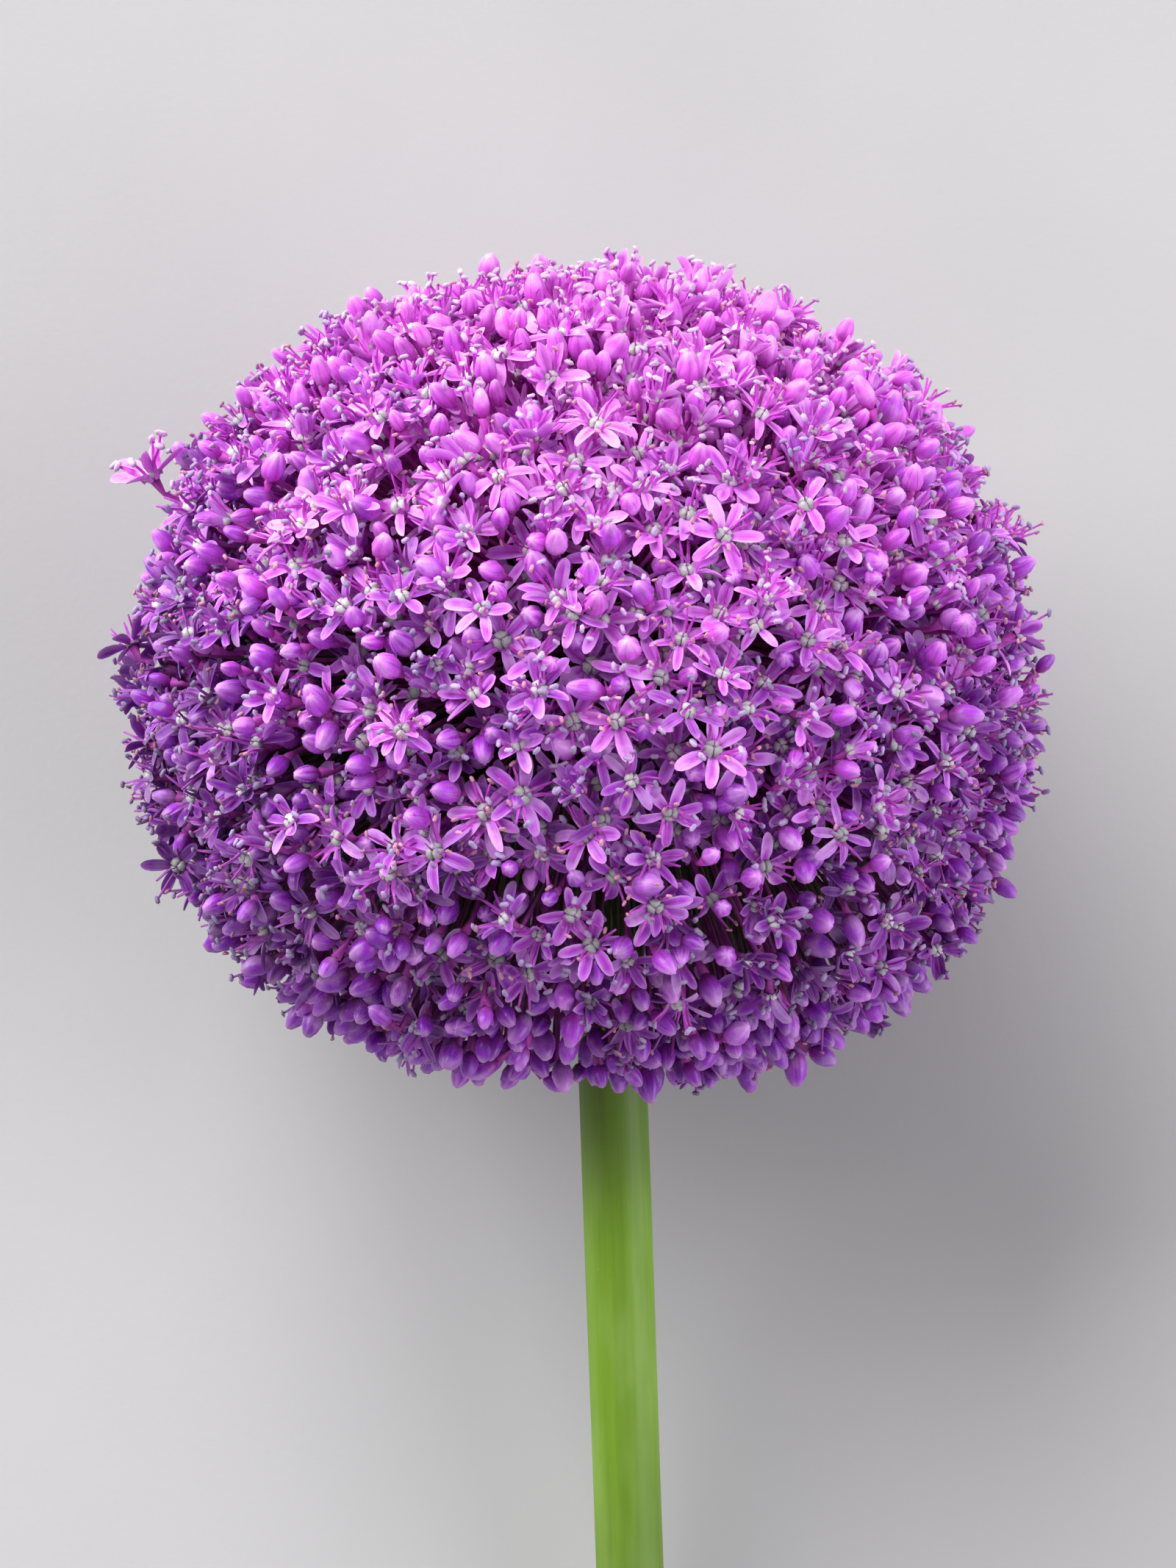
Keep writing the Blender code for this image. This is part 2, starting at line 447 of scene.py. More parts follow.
@dataclass(frozen=True)
class PetalFinish:
    """Satin petal skin with lengthwise veins, for open tepals and for buds.

    Attributes:
        name: Name of the material.
        pink: Body colour of the pinkest florets.
        violet: Body colour of the bluest florets; the low and side ones turn to it partly as painted
            shade.
        light: Colour of the pale streaks between the veins and of the margins.
        streak: How strongly those streaks show.
        vein: Colour of the midrib and of the dark veins.
        throat: Colour at the very base; on the buds partly painted shade deep in the umbel.
        collar: How far up from the base that colour reaches, as a share of the length.
        tip: Colour at the very tip; on the buds partly a painted highlight.
        midrib: How strongly the middle is stained with the vein colour.
        seam: How strongly the margin takes the vein colour: painted shade in the seams where tepals
            overlap.
        margin: How strongly the margin is paled.
        lowest: How bright the painted shade leaves the lowest florets, as a share of the others.
        rough: Roughness of the dullest spots.
        smooth: Roughness of the shiniest.
        gloss: How strongly the skin reflects.
    """

    name: str
    pink: Colour
    violet: Colour
    light: Colour
    streak: float
    vein: Colour
    throat: Colour
    collar: float
    tip: Colour
    midrib: float
    seam: float
    margin: float
    lowest: float
    rough: float
    smooth: float
    gloss: float

    STREAKS_ACROSS = 3.6
    STREAKS_ALONG = 0.9
    OWN_STREAKS = 61.0  # how far a floret's tone shifts its streaks, so that no two are alike
    CLOUDS = 230.0  # scale of the pale and dark patches
    GRIT = 2600.0  # scale of the dull spots
    RELIEF = 0.04 * MM  # height of the streaks
    LOW_PALING = 1.15  # how strongly the pale parts show on the low florets, against the top ones
    MIDRIB_SIDE = 0.46  # how far from the middle the midrib's stain ends, in half widths
    MIDRIB_FADING = (0.95, 0.60)  # where along the blade it is gone, and where it is full
    MARGIN_SIDE = 0.45  # how far from the middle the pale margin starts
    SEAM_SIDE = 0.62  # how far from the middle the seam's painted shade starts
    THROAT = 0.80  # how strongly the base takes its own colour
    TIP = 0.60  # how strongly the tip takes its own
    TIP_START = 0.70
    TONE_AND_HIGHLIGHT_PATCHES = 0.55  # how strongly the pale patches show: partly random tone, partly a painted satin highlight
    SHEEN = 0.05
    SHEEN_ROUGHNESS = 0.4

    def material(self) -> bpy.types.Material:
        """Builds the material.

        Returns:
            The new material.
        """
        painter = Painter(self.name)
        across, along, tone = painter.grain()
        aside = painter.math("ABSOLUTE", across)
        blade = painter.vector(
            painter.math("MULTIPLY", across, self.STREAKS_ACROSS),
            painter.math("MULTIPLY", along, self.STREAKS_ALONG),
            painter.math("MULTIPLY", tone, self.OWN_STREAKS),
        )
        streaks = painter.noise(blade, 1.0)
        clouds = painter.noise(painter.place(), self.CLOUDS, 3.0)
        grit = painter.noise(painter.place(), self.GRIT, 2.0)

        # pink turns to violet with the tone: partly each floret's own, partly painted shade low down and
        # at the sides
        colour = painter.blend(painter.span(tone, 0.1, 0.9), self.pink, self.violet)
        paling = painter.span(tone, 0.08, 0.60, self.LOW_PALING, 1.0)
        pale = painter.math("MULTIPLY", painter.span(streaks, 0.45, 0.80, self.streak), paling)
        colour = painter.blend(pale, colour, self.light)
        middle = painter.span(aside, self.MIDRIB_SIDE, 0.0, self.midrib)
        middle = painter.math("MULTIPLY", middle, painter.span(along, *self.MIDRIB_FADING))
        colour = painter.blend(middle, colour, self.vein)
        edge = painter.span(aside, self.MARGIN_SIDE, 1.0, self.margin)
        colour = painter.blend(painter.math("MULTIPLY", edge, paling), colour, self.light)
        # painted shade in the seams where the bud's tepals overlap
        colour = painter.blend(painter.span(aside, self.SEAM_SIDE, 1.0, self.seam), colour, self.vein)
        # on the buds the dark lower part is partly painted shade and the pale tip partly a painted
        # highlight
        base = painter.span(along, self.collar, 0.02, self.THROAT)
        colour = painter.blend(base, colour, self.throat)
        colour = painter.blend(painter.span(along, self.TIP_START, 1.0, self.TIP), colour, self.tip)
        # pale patches: partly random tone, partly a painted satin highlight
        colour = painter.blend(painter.span(clouds, 0.50, 0.70, self.TONE_AND_HIGHLIGHT_PATCHES), colour, self.light)
        colour = painter.times(colour, painter.span(clouds, 0.50, 0.28, 0.72, 1.08))
        # painted shade on the lower florets
        colour = painter.lit_from_above(colour, tone, self.lowest)

        roughness = painter.span(grit, 0.25, 0.75, self.rough, self.smooth)
        return painter.finish(
            colour,
            roughness,
            streaks,
            self.RELIEF,
            Sheen_Weight=self.SHEEN,
            Sheen_Roughness=self.SHEEN_ROUGHNESS,
            Specular_IOR_Level=self.gloss,
        )


@dataclass(frozen=True)
class FilamentFinish:
    """Smooth thin stalk that deepens in colour from its foot to its tip.

    Attributes:
        foot: Colour where the filament leaves the tepals.
        tip: Colour below the anther.
        low: Colour of those on the lowest florets, darker there as painted shade.
    """

    foot: Colour = (0.84, 0.28, 0.82)
    tip: Colour = (0.56, 0.06, 0.54)
    low: Colour = (0.17, 0.07, 0.26)

    MOTTLE = 1800.0
    RELIEF = 0.02 * MM

    def material(self) -> bpy.types.Material:
        """Builds the material.

        Returns:
            The new material.
        """
        painter = Painter("filament")
        _, along, tone = painter.grain()
        mottle = painter.noise(painter.place(), self.MOTTLE)
        colour = painter.blend(painter.span(along, 0.0, 0.55), self.foot, self.tip)
        colour = painter.mottled(colour, mottle, 1.2, 0.85)
        # painted shade: darker filaments on the low florets
        colour = painter.blend(painter.span(tone, 0.35, 0.9, 0.7), colour, self.low)
        roughness = painter.roughness(mottle, 0.55, 0.4)
        return painter.finish(colour, roughness, mottle, self.RELIEF, Specular_IOR_Level=STALK_GLOSS)


@dataclass(frozen=True)
class AntherFinish:
    """Pollen sacs: greyish lavender while closed, dusty pink once they have shed.

    Attributes:
        pale: Colour of a full anther near the top of the umbel, paler there as painted light.
        closed: Colour of a full anther elsewhere.
        shed: Colour of an empty one.
        groove: Colour of the line between the sacs: painted shade of a groove that the mesh does not
            model.
    """

    pale: Colour = (0.80, 0.54, 0.78)
    closed: Colour = (0.52, 0.38, 0.66)
    shed: Colour = (0.72, 0.31, 0.44)
    groove: Colour = (0.30, 0.14, 0.36)

    DUST = 5200.0  # scale of the pollen grains
    BATCH = 320.0  # scale of the patches of lighter and darker anthers
    GROOVE_DEPTH = 0.6  # how strongly the groove's painted shade shows
    LOWEST = 0.5  # how bright the painted shade leaves the lowest, as a share of the others
    RELIEF = 0.06 * MM

    def material(self) -> bpy.types.Material:
        """Builds the material.

        Returns:
            The new material.
        """
        painter = Painter("anther")
        spent, depth, tone = painter.grain()
        dust = painter.noise(painter.place(), self.DUST, 3.0)
        batch = painter.noise(painter.place(), self.BATCH, 1.0)
        # painted light: paler anthers near the top of the umbel
        colour = painter.blend(painter.span(tone, 0.15, 0.55), self.pale, self.closed)
        colour = painter.blend(spent, colour, self.shed)
        colour = painter.times(colour, painter.span(batch, 0.35, 0.65, 1.15, 0.65))
        groove = painter.math("MULTIPLY", depth, self.GROOVE_DEPTH)
        colour = painter.blend(groove, colour, self.groove)
        colour = painter.mottled(colour, dust, 1.25, 0.8)
        # painted shade on the lower florets
        colour = painter.lit_from_above(colour, tone, self.LOWEST)
        return painter.finish(colour, painter.roughness(dust, 0.9, 0.65), dust, self.RELIEF)


@dataclass(frozen=True)
class OvaryFinish:
    """Waxy sage-green ovary with purplish grooves between its three lobes, deepened by painted shade.

    Attributes:
        fresh: Colour of the palest lobes.
        ripe: Colour of the greyest lobes.
        groove: Colour between the lobes, in the dip on top and at the foot: partly the grooves' own
            colour, partly painted shade.
    """

    fresh: Colour = (0.66, 0.67, 0.62)
    ripe: Colour = (0.24, 0.25, 0.24)
    groove: Colour = (0.12, 0.04, 0.14)

    GRIT = 2600.0
    RELIEF = 0.05 * MM

    def material(self) -> bpy.types.Material:
        """Builds the material.

        Returns:
            The new material.
        """
        painter = Painter("ovary")
        lobe, height, tone = painter.grain()
        grit = painter.noise(painter.place(), self.GRIT, 3.0)
        # pale to grey: partly ripeness, partly the painted shade of the low florets
        colour = painter.blend(painter.span(tone, 0.30, 0.95), self.fresh, self.ripe)
        # grooves, the dip on top and the foot: partly their own purplish colour, partly painted shade
        colour = painter.blend(painter.span(lobe, 0.45, 0.0, 0.75), colour, self.groove)
        colour = painter.blend(painter.span(height, 0.35, 0.0, 0.6), colour, self.groove)
        colour = painter.mottled(colour, grit, 1.12, 0.84)
        return painter.finish(colour, painter.roughness(grit, 0.55, 0.35), grit, self.RELIEF)


@dataclass(frozen=True)
class PedicelFinish:
    """Flower stalk: yellow-green at its root, flushed red-purple under the floret.

    Attributes:
        root: Colour at the receptacle.
        middle: Colour half way up, near the top of the umbel.
        low: The same in its lowest part, darker there as painted shade.
        flush: Colour under the floret.
    """

    root: Colour = (0.38, 0.46, 0.12)
    middle: Colour = (0.60, 0.12, 0.42)
    low: Colour = (0.20, 0.20, 0.10)
    flush: Colour = (0.56, 0.06, 0.48)

    MOTTLE = 900.0
    LOWEST = 0.5  # how bright the painted shade leaves the lowest, as a share of the others
    RELIEF = 0.04 * MM

    def material(self) -> bpy.types.Material:
        """Builds the material.

        Returns:
            The new material.
        """
        painter = Painter("pedicel")
        _, along, tone = painter.grain()
        mottle = painter.noise(painter.place(), self.MOTTLE, 3.0)
        # painted shade: darker stalks on the low florets
        middle = painter.blend(painter.span(tone, 0.35, 0.75), self.middle, self.low)
        colour = painter.blend(painter.span(along, 0.25, 0.60), self.root, middle)
        colour = painter.blend(painter.span(along, 0.66, 1.0), colour, self.flush)
        # painted shade on the lower florets
        colour = painter.lit_from_above(colour, tone, self.LOWEST)
        colour = painter.mottled(colour, mottle, 1.2, 0.8)
        roughness = painter.roughness(mottle, 0.6, 0.42)
        return painter.finish(colour, roughness, mottle, self.RELIEF, Specular_IOR_Level=STALK_GLOSS)


@dataclass(frozen=True)
class ScapeFinish:
    """Smooth waxy stalk with fine lengthwise lines, a thin pale bloom and painted shade under the umbel
    and near the cut.

    Attributes:
        green: Main colour.
        shade: Colour of the darker lines.
        bloom: Colour of the wax.
        umbel_shadow: Where the painted shadow of the umbel darkens it, in radii below the receptacle's
            middle.
        cut_end_shade: Where painted shade darkens it towards the cut, in the same way.
        deepest_shade: How dark that painted shade gets, as a share of its colour.
    """

    green: Colour = (0.178, 0.330, 0.018)
    shade: Colour = (0.130, 0.250, 0.013)
    bloom: Colour = (0.27, 0.42, 0.09)
    umbel_shadow: tuple[float, float] = (-17.0, -13.0)
    cut_end_shade: tuple[float, float] = (-19.0, -31.0)
    deepest_shade: float = 0.55

    LINE_STRETCH = 0.03  # how much slower the lines change along the scape than across it
    PATCH_STRETCH = 0.25  # the same for the patches of wax
    SPECKS = 2400.0
    RELIEF = 0.12 * MM  # depth of the lines

    def material(self) -> bpy.types.Material:
        """Builds the material.

        Returns:
            The new material.
        """
        painter = Painter("scape")
        x, y, z = painter.grain()
        drawn = painter.math("MULTIPLY", z, self.LINE_STRETCH)
        lines = painter.noise(painter.vector(x, y, drawn), 2.6, 3.0)
        drawn = painter.math("MULTIPLY", z, self.PATCH_STRETCH)
        patches = painter.noise(painter.vector(x, y, drawn), 0.9, 3.0)
        specks = painter.noise(painter.place(), self.SPECKS, 2.0)
        colour = painter.blend(painter.span(lines, 0.35, 0.7, 0.7), self.green, self.shade)
        colour = painter.blend(painter.span(patches, 0.35, 0.75, 0.55), colour, self.bloom)
        colour = painter.blend(painter.span(specks, 0.66, 0.78, 0.35), colour, self.bloom)
        # painted shadow of the umbel, and painted shade towards the cut
        for low, high in (self.umbel_shadow, self.cut_end_shade):
            colour = painter.times(colour, painter.span(z, low, high, self.deepest_shade, 1.0))
        roughness = painter.span(patches, 0.3, 0.7, 0.58, 0.38)
        return painter.finish(colour, roughness, lines, self.RELIEF, Specular_IOR_Level=STALK_GLOSS)


@dataclass(frozen=True)
class PithFinish:
    """The cut face: a green rind, a ring of bundles and pale moist pith.

    Attributes:
        rind: Colour at the rim.
        pith: Colour of the middle.
        bundle: Colour of the vascular bundles.
    """

    rind: Colour = (0.20, 0.34, 0.07)
    pith: Colour = (0.56, 0.66, 0.34)
    bundle: Colour = (0.34, 0.47, 0.16)

    CELLS = 14.0  # scale of the cells, in scape radii
    BUNDLES = 5.0  # scale of the bundles, in the same way
    RING = (0.45, 0.75)  # where the bundles start and are all there, as shares of the radius
    RIM = (0.80, 0.95)  # where the rind starts and is all there
    RELIEF = 0.2 * MM

    def material(self) -> bpy.types.Material:
        """Builds the material.

        Returns:
            The new material.
        """
        painter = Painter("pith")
        x, y, _ = painter.grain()
        across = painter.vector(x, y, 0.0)
        squares = painter.math("MULTIPLY", x, x), painter.math("MULTIPLY", y, y)
        out = painter.math("SQRT", painter.math("ADD", *squares))
        cells = painter.noise(across, self.CELLS, 4.0)
        bundles = painter.noise(across, self.BUNDLES, 1.0)
        spots = painter.span(bundles, 0.5, 0.62)
        ring = painter.math("MULTIPLY", painter.span(out, *self.RING), spots)
        colour = painter.blend(ring, self.pith, self.bundle)
        colour = painter.blend(painter.span(out, *self.RIM), colour, self.rind)
        colour = painter.mottled(colour, cells, 1.1, 0.85)
        return painter.finish(colour, painter.roughness(cells, 0.5, 0.3), cells, self.RELIEF)


@dataclass(frozen=True)
class FloorFinish:
    """Matt pale table top.

    Attributes:
        pale: Its colour.
        soiled: The colour of its faint mottling.
    """

    pale: Colour = (0.46, 0.45, 0.435)
    soiled: Colour = (0.43, 0.422, 0.41)

    MOTTLE = 9.0
    GRIT = 900.0
    RELIEF = 0.03 * MM

    def material(self) -> bpy.types.Material:
        """Builds the material.

        Returns:
            The new material.
        """
        painter = Painter("table top")
        mottle = painter.noise(painter.place(), self.MOTTLE, 4.0)
        grit = painter.noise(painter.place(), self.GRIT, 3.0)
        colour = painter.blend(painter.span(mottle, *painter.MIDDLE_NOISE), self.pale, self.soiled)
        return painter.finish(colour, painter.roughness(grit, 0.75, 0.6), grit, self.RELIEF)


TEPAL_FINISH = PetalFinish(
    name="tepal",
    pink=(0.86, 0.21, 0.83),
    violet=(0.44, 0.014, 0.84),
    light=(0.94, 0.60, 0.98),
    streak=0.52,
    vein=(0.42, 0.02, 0.44),
    throat=(0.34, 0.02, 0.34),
    collar=0.26,
    tip=(0.82, 0.34, 0.86),
    midrib=0.60,
    seam=0.0,
    margin=0.36,
    lowest=0.36,
    rough=0.44,
    smooth=0.28,
    gloss=0.25,
)
BUD_FINISH = PetalFinish(
    name="bud",
    pink=(0.80, 0.14, 0.77),
    violet=(0.43, 0.024, 0.84),
    light=(0.94, 0.50, 0.98),
    streak=0.44,
    vein=(0.30, 0.012, 0.30),
    # dark lower part and pale tip: partly the bud's own colour, partly painted shade and a painted
    # highlight
    throat=(0.44, 0.03, 0.36),
    collar=0.62,
    tip=(0.88, 0.44, 0.90),
    midrib=0.12,
    # painted shade in the seams
    seam=0.42,
    margin=0.0,
    lowest=0.50,
    rough=0.36,
    smooth=0.22,
    gloss=0.40,
)
FINISHES = {
    Tissue.TEPAL: TEPAL_FINISH,
    Tissue.BUD: BUD_FINISH,
    Tissue.FILAMENT: FilamentFinish(),
    Tissue.ANTHER: AntherFinish(),
    Tissue.OVARY: OvaryFinish(),
    Tissue.PEDICEL: PedicelFinish(),
    Tissue.SCAPE: ScapeFinish(),
    Tissue.PITH: PithFinish(),
}


@dataclass
class Wardrobe:
    """Makes each tissue's material once and hands it out.

    Attributes:
        made: The materials made so far.
    """

    made: dict[Tissue, bpy.types.Material] = field(default_factory=dict)

    def material(self, tissue: Tissue) -> bpy.types.Material:
        """The material of a tissue.

        Args:
            tissue: What the faces are made of.

        Returns:
            The material that all its faces share.
        """
        if tissue not in self.made:
            self.made[tissue] = FINISHES[tissue].material()
        return self.made[tissue]


# ---- The plant's place in the row frame ---------------------------------------------------------
@dataclass(frozen=True)
class PlantFrame:
    """How the plant lies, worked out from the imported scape.

    Attributes:
        centre: Middle of the receptacle, in the row frame.
        tilt: Angle of the scape above the surface.
        scape_length: From the middle of the receptacle to the cut.
        umbel_radius: Half the umbel's width.
        pressed_depth: How far the umbel's underside is pressed in.
        press_softness: Height over which the press fades out.
        clearance: Height of the pressed florets' lowest points above the surface.
    """

    centre: Array
    tilt: float
    scape_length: float
    umbel_radius: float
    pressed_depth: float = 4.5 * MM
    press_softness: float = 1.8 * MM
    clearance: float = 0.02 * MM

    TILT_ROUNDS = 8  # the cut end touches at its lower edge, so the tilt is found in rounds

    @classmethod
    def measured(cls, receptacle_radius: float, scape_radius: float, lean: float) -> "PlantFrame":
        """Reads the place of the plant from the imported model.

        Args:
            receptacle_radius: Radius of the round top of the scape.
            scape_radius: Radius of the plain scape.
            lean: Angle between the scape and the plant's +Z.

        Returns:
            The plant's frame.
        """
        low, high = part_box("scape")
        centre = np.array([low.x, high.y, high.z]) + receptacle_radius * np.array([1.0, -1.0, -1.0])
        run, drop = centre[1] - low.y, centre[2] - low.z
        tilt = math.atan2(drop, run)
        for _ in range(cls.TILT_ROUNDS):
            tilt = math.atan2(
                drop - scape_radius * math.cos(tilt), run - scape_radius * math.sin(tilt)
            )
        length = (run - scape_radius * math.sin(tilt)) / math.cos(tilt) / math.cos(lean)
        low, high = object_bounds()
        return cls(centre, tilt, length, (high.x - low.x) / 2)

    def basis(self) -> Array:
        """The plant's three axes in the row frame, one a row."""
        cosine, sine = math.cos(self.tilt), math.sin(self.tilt)
        return np.array([[1.0, 0.0, 0.0], [0.0, sine, -cosine], [0.0, cosine, sine]])

    def laid(self, points: Array) -> Array:
        """Plant coordinates turned into the row frame."""
        return points @ self.basis() + self.centre

    def pressed(self, points: Array) -> Array:
        """Points of the row frame after the surface has pressed the low ones up.

        Args:
            points: Points in the row frame, some of which lie below the surface.

        Returns:
            The points, none of them below the surface.
        """
        soft = self.press_softness
        floor = soft * math.log1p(math.exp(-self.pressed_depth / soft))
        height = soft * np.logaddexp(0.0, points[:, 2] / soft) - floor
        return np.column_stack([points[:, :2], np.maximum(height, self.clearance)])


# ---- Florets ------------------------------------------------------------------------------------
class Growth(Enum):
    """How far a floret has come."""

    BUD = "bud"
    HALF_OPEN = "half open"
    CUPPED = "cupped"
    OPEN = "open"
    FADED = "faded"


@dataclass(frozen=True)
class Spread:
    """How the parts of a floret stand and how old they look. Angles are from its axis.

    Attributes:
        tepal: Angle of the tepals.
        droop: How much further the tips bend out.
        cup: How far the margins curl up, as a share of the half width.
        stamen: Angle of the stamens.
        loose: How much the angles differ from floret to floret.
        spent: Share of the anthers that have shed their pollen.
        ripe: How much greyer than its tone the ovary is.
    """

    tepal: float
    droop: float
    cup: float
    stamen: float
    loose: float
    spent: float
    ripe: float


@dataclass(frozen=True)
class Detail:
    """How finely a floret is modelled.

    Attributes:
        tepal_places: Where the rings of vertices lie along a tepal, from its base at 0 to its tip at 1.
        filament_rings: Rings along a filament, or 0 for a floret without stamens.
        anther_sides: Vertices a ring of an anther.
        anther_places: Where the rings lie along an anther, from one end at -1 to the other at 1.
        ovary_shares: Distance from the middle of each ring over the ovary, as a share of its outline.
        bud_sides: Vertices a ring of a bud; a multiple of six, so that each seam has its own.
        bud_places: Where the rings lie along a bud, as a share of its length.
        pedicel_sides: Vertices a ring of a pedicel.
    """

    tepal_places: tuple[float, ...]
    filament_rings: int
    anther_sides: int
    anther_places: tuple[float, ...]
    ovary_shares: tuple[float, ...]
    bud_sides: int
    bud_places: tuple[float, ...]
    pedicel_sides: int


FINE = Detail(
    tepal_places=(0.0, 0.18, 0.42, 0.67, 0.86, 0.96),
    filament_rings=3,
    anther_sides=5,
    anther_places=(-0.55, 0.55),
    ovary_shares=(1.0, 0.82, 0.42),
    bud_sides=18,
    bud_places=(0.03, 0.20, 0.44, 0.70, 0.90),
    pedicel_sides=4,
)
PLAIN = Detail(
    tepal_places=(0.0, 0.30, 0.66, 0.90),
    filament_rings=2,
    anther_sides=4,
    anther_places=(0.0,),
    ovary_shares=(0.9,),
    bud_sides=12,
    bud_places=(0.03, 0.22, 0.52, 0.84),
    pedicel_sides=3,
)
HIDDEN = Detail(
    tepal_places=(0.0, 0.42, 0.84),
    filament_rings=0,
    anther_sides=0,
    anther_places=(),
    ovary_shares=(0.9,),
    bud_sides=12,
    bud_places=(0.06, 0.45, 0.84),
    pedicel_sides=3,
)

SPREADS = {
    Growth.HALF_OPEN: Spread(
        tepal=math.radians(30),
        droop=math.radians(-4),
        cup=0.50,
        stamen=math.radians(17),
        loose=0.16,
        spent=0.0,
        ripe=-0.1,
    ),
    Growth.CUPPED: Spread(
        tepal=math.radians(58),
        droop=math.radians(-16),
        cup=0.60,
        stamen=math.radians(30),
        loose=0.10,
        spent=0.1,
        ripe=-0.1,
    ),
    Growth.OPEN: Spread(
        tepal=math.radians(80),
        droop=math.radians(8),
        cup=0.26,
        stamen=math.radians(34),
        loose=0.13,
        spent=0.25,
        ripe=0.0,
    ),
    Growth.FADED: Spread(
        tepal=math.radians(92),
        droop=math.radians(18),
        cup=0.34,
        stamen=math.radians(42),
        loose=0.15,
        spent=0.8,
        ripe=0.3,
    ),
}


@dataclass(frozen=True)
class Tepals:
    """The six tepals of one floret, each a thin closed blade.

    Attributes:
        length: From base to tip.
        half_width: Half of the greatest width.
        thickness: At the midrib.
        base_radius: How far from the floret's axis the blades start.
        base_share: Width at the base, as a share of the greatest.
        widest: Where the blade is widest, as a share of its length.
        shoulder: Exponent of the narrowing past there: higher keeps the blade wide for longer.
        point: Exponent of the narrowing at the tip: lower makes the tip rounder.
        curl: Exponent of the curl across the blade: lower lifts more than the margins.
        inner_step: How much higher the three inner blades start than the outer ones.
        base_lean: Angle of a blade at its base, as a share of its own angle.
        bend_reach: How soon a blade turns to its own angle, as a share of its length.
        angle_spread: How much the angles of a floret's blades differ.
        droop_spread: How much their droop differs.
        turn_spread: How much their places around the axis differ.
        length_spread: How much their lengths differ, as a share.
        length_range: Between what shares of the length a floret's blades lie.
        width_spread: How much their widths differ, as a share.
        cup_range: Between what shares of its spread's cup a blade curls.
        twist_spread: How much they turn about their midribs towards the tip.
        sway_spread: How far the tips bend aside, as a share of the length.
    """

    length: float = 4.65 * MM
    half_width: float = 0.87 * MM
    thickness: float = 0.15 * MM
    base_radius: float = 0.65 * MM
    base_share: float = 0.42
    widest: float = 0.54
    shoulder: float = 3.0
    point: float = 0.62
    curl: float = 0.7
    inner_step: float = 0.16 * MM
    base_lean: float = 0.45
    bend_reach: float = 0.13
    angle_spread: float = 0.20
    droop_spread: float = 0.24
    turn_spread: float = 0.10
    length_spread: float = 0.05
    length_range: tuple[float, float] = (0.93, 1.06)
    width_spread: float = 0.09
    cup_range: tuple[float, float] = (0.5, 1.6)
    twist_spread: float = 0.45
    sway_spread: float = 0.08

    COUNT = 6
    COLUMNS = np.array([-1.0, -0.40, 0.40, 1.0])  # places across a blade, in half widths

    def outline(self, along: Array) -> Array:
        """The shape of a blade.

        Args:
            along: Places along the blade, from its base at 0 to its tip at 1.

        Returns:
            The width at each place, as a share of the greatest.
        """
        rise = np.sin(math.pi / 2 * np.minimum(along / self.widest, 1))
        fall = np.maximum(along - self.widest, 0) / (1 - self.widest)
        narrowing = (1 - fall**self.shoulder) ** self.point
        return (self.base_share + (1 - self.base_share) * rise) * narrowing

    def build(self, spread: Spread, tone: float, detail: Detail, rng: np.random.Generator) -> Patch:
        """Models the six blades.

        Args:
            spread: How they stand.
            tone: The floret's tone, its own share plus its painted shade.
            detail: How finely they are modelled.
            rng: Source of the small differences between blades.

        Returns:
            The blades, about the floret's axis.
        """
        count = self.COUNT
        opening = spread.tepal + spread.loose * rng.normal()
        angle = opening + self.angle_spread * rng.normal(size=count)
        droop = spread.droop + self.droop_spread * rng.normal(size=count)
        length = self.length * (1 + self.length_spread * rng.normal(size=count))
        length = length * rng.uniform(*self.length_range)
        width = self.half_width * (1 + self.width_spread * rng.normal(size=count))
        cup = spread.cup * rng.uniform(*self.cup_range, count)
        twist = self.twist_spread * rng.normal(size=count)
        sway = self.sway_spread * rng.normal(size=count)
        around = np.arange(count) * math.pi / 3 + self.turn_spread * rng.normal(size=count)
        step_up = np.where(np.arange(count) % 2 == 0, 0.0, self.inner_step)

        share = np.array([*detail.tepal_places, 1.0])
        between = (share[1:] + share[:-1]) / 2

        def lean(along: Array) -> Array:
            """The bend of the blades.

            Args:
                along: Places along a blade, from its base at 0 to its tip at 1.

            Returns:
                Each blade's angle from the axis at each place.
            """
            base = self.base_lean * angle
            rise = np.exp(-along / self.bend_reach)
            return angle[:, None] + (base - angle)[:, None] * rise + droop[:, None] * along**2

        steps = length[:, None] * np.diff(share)
        zero = np.zeros((count, 1))
        out = np.hstack([zero, np.cumsum(steps * np.sin(lean(between)), 1)]) + self.base_radius
        up = np.hstack([zero, np.cumsum(steps * np.cos(lean(between)), 1)]) + step_up[:, None]

        # Across a blade lie the columns of its curled upper face and a keel under the middle.
        half = width[:, None] * self.outline(share)[None]
        side = half[..., None] * self.COLUMNS
        rise = cup[:, None, None] * half[..., None] * np.abs(self.COLUMNS) ** self.curl
        keel = -self.thickness * np.sqrt(self.outline(share))[None] * np.ones((count, 1))
        side = np.concatenate([side, np.zeros((count, len(share), 1))], 2)
        rise = np.concatenate([rise, keel[..., None]], 2)
        # Towards its tip it turns about the midrib and sways aside.
        turn = (twist[:, None] * share)[..., None]
        side, rise = (
            side * np.cos(turn) - rise * np.sin(turn),
            side * np.sin(turn) + rise * np.cos(turn),
        )
        side = side + (sway * length)[:, None, None] * (share**2)[None, :, None]
        # Its columns stand square to its bend.
        angles = lean(share)[..., None]
        radial = out[..., None] - rise * np.cos(angles)
        height = up[..., None] + rise * np.sin(angles)
        cosine, sine = np.cos(around)[:, None, None], np.sin(around)[:, None, None]
        points = np.stack([radial * cosine - side * sine, radial * sine + side * cosine, height], -1)

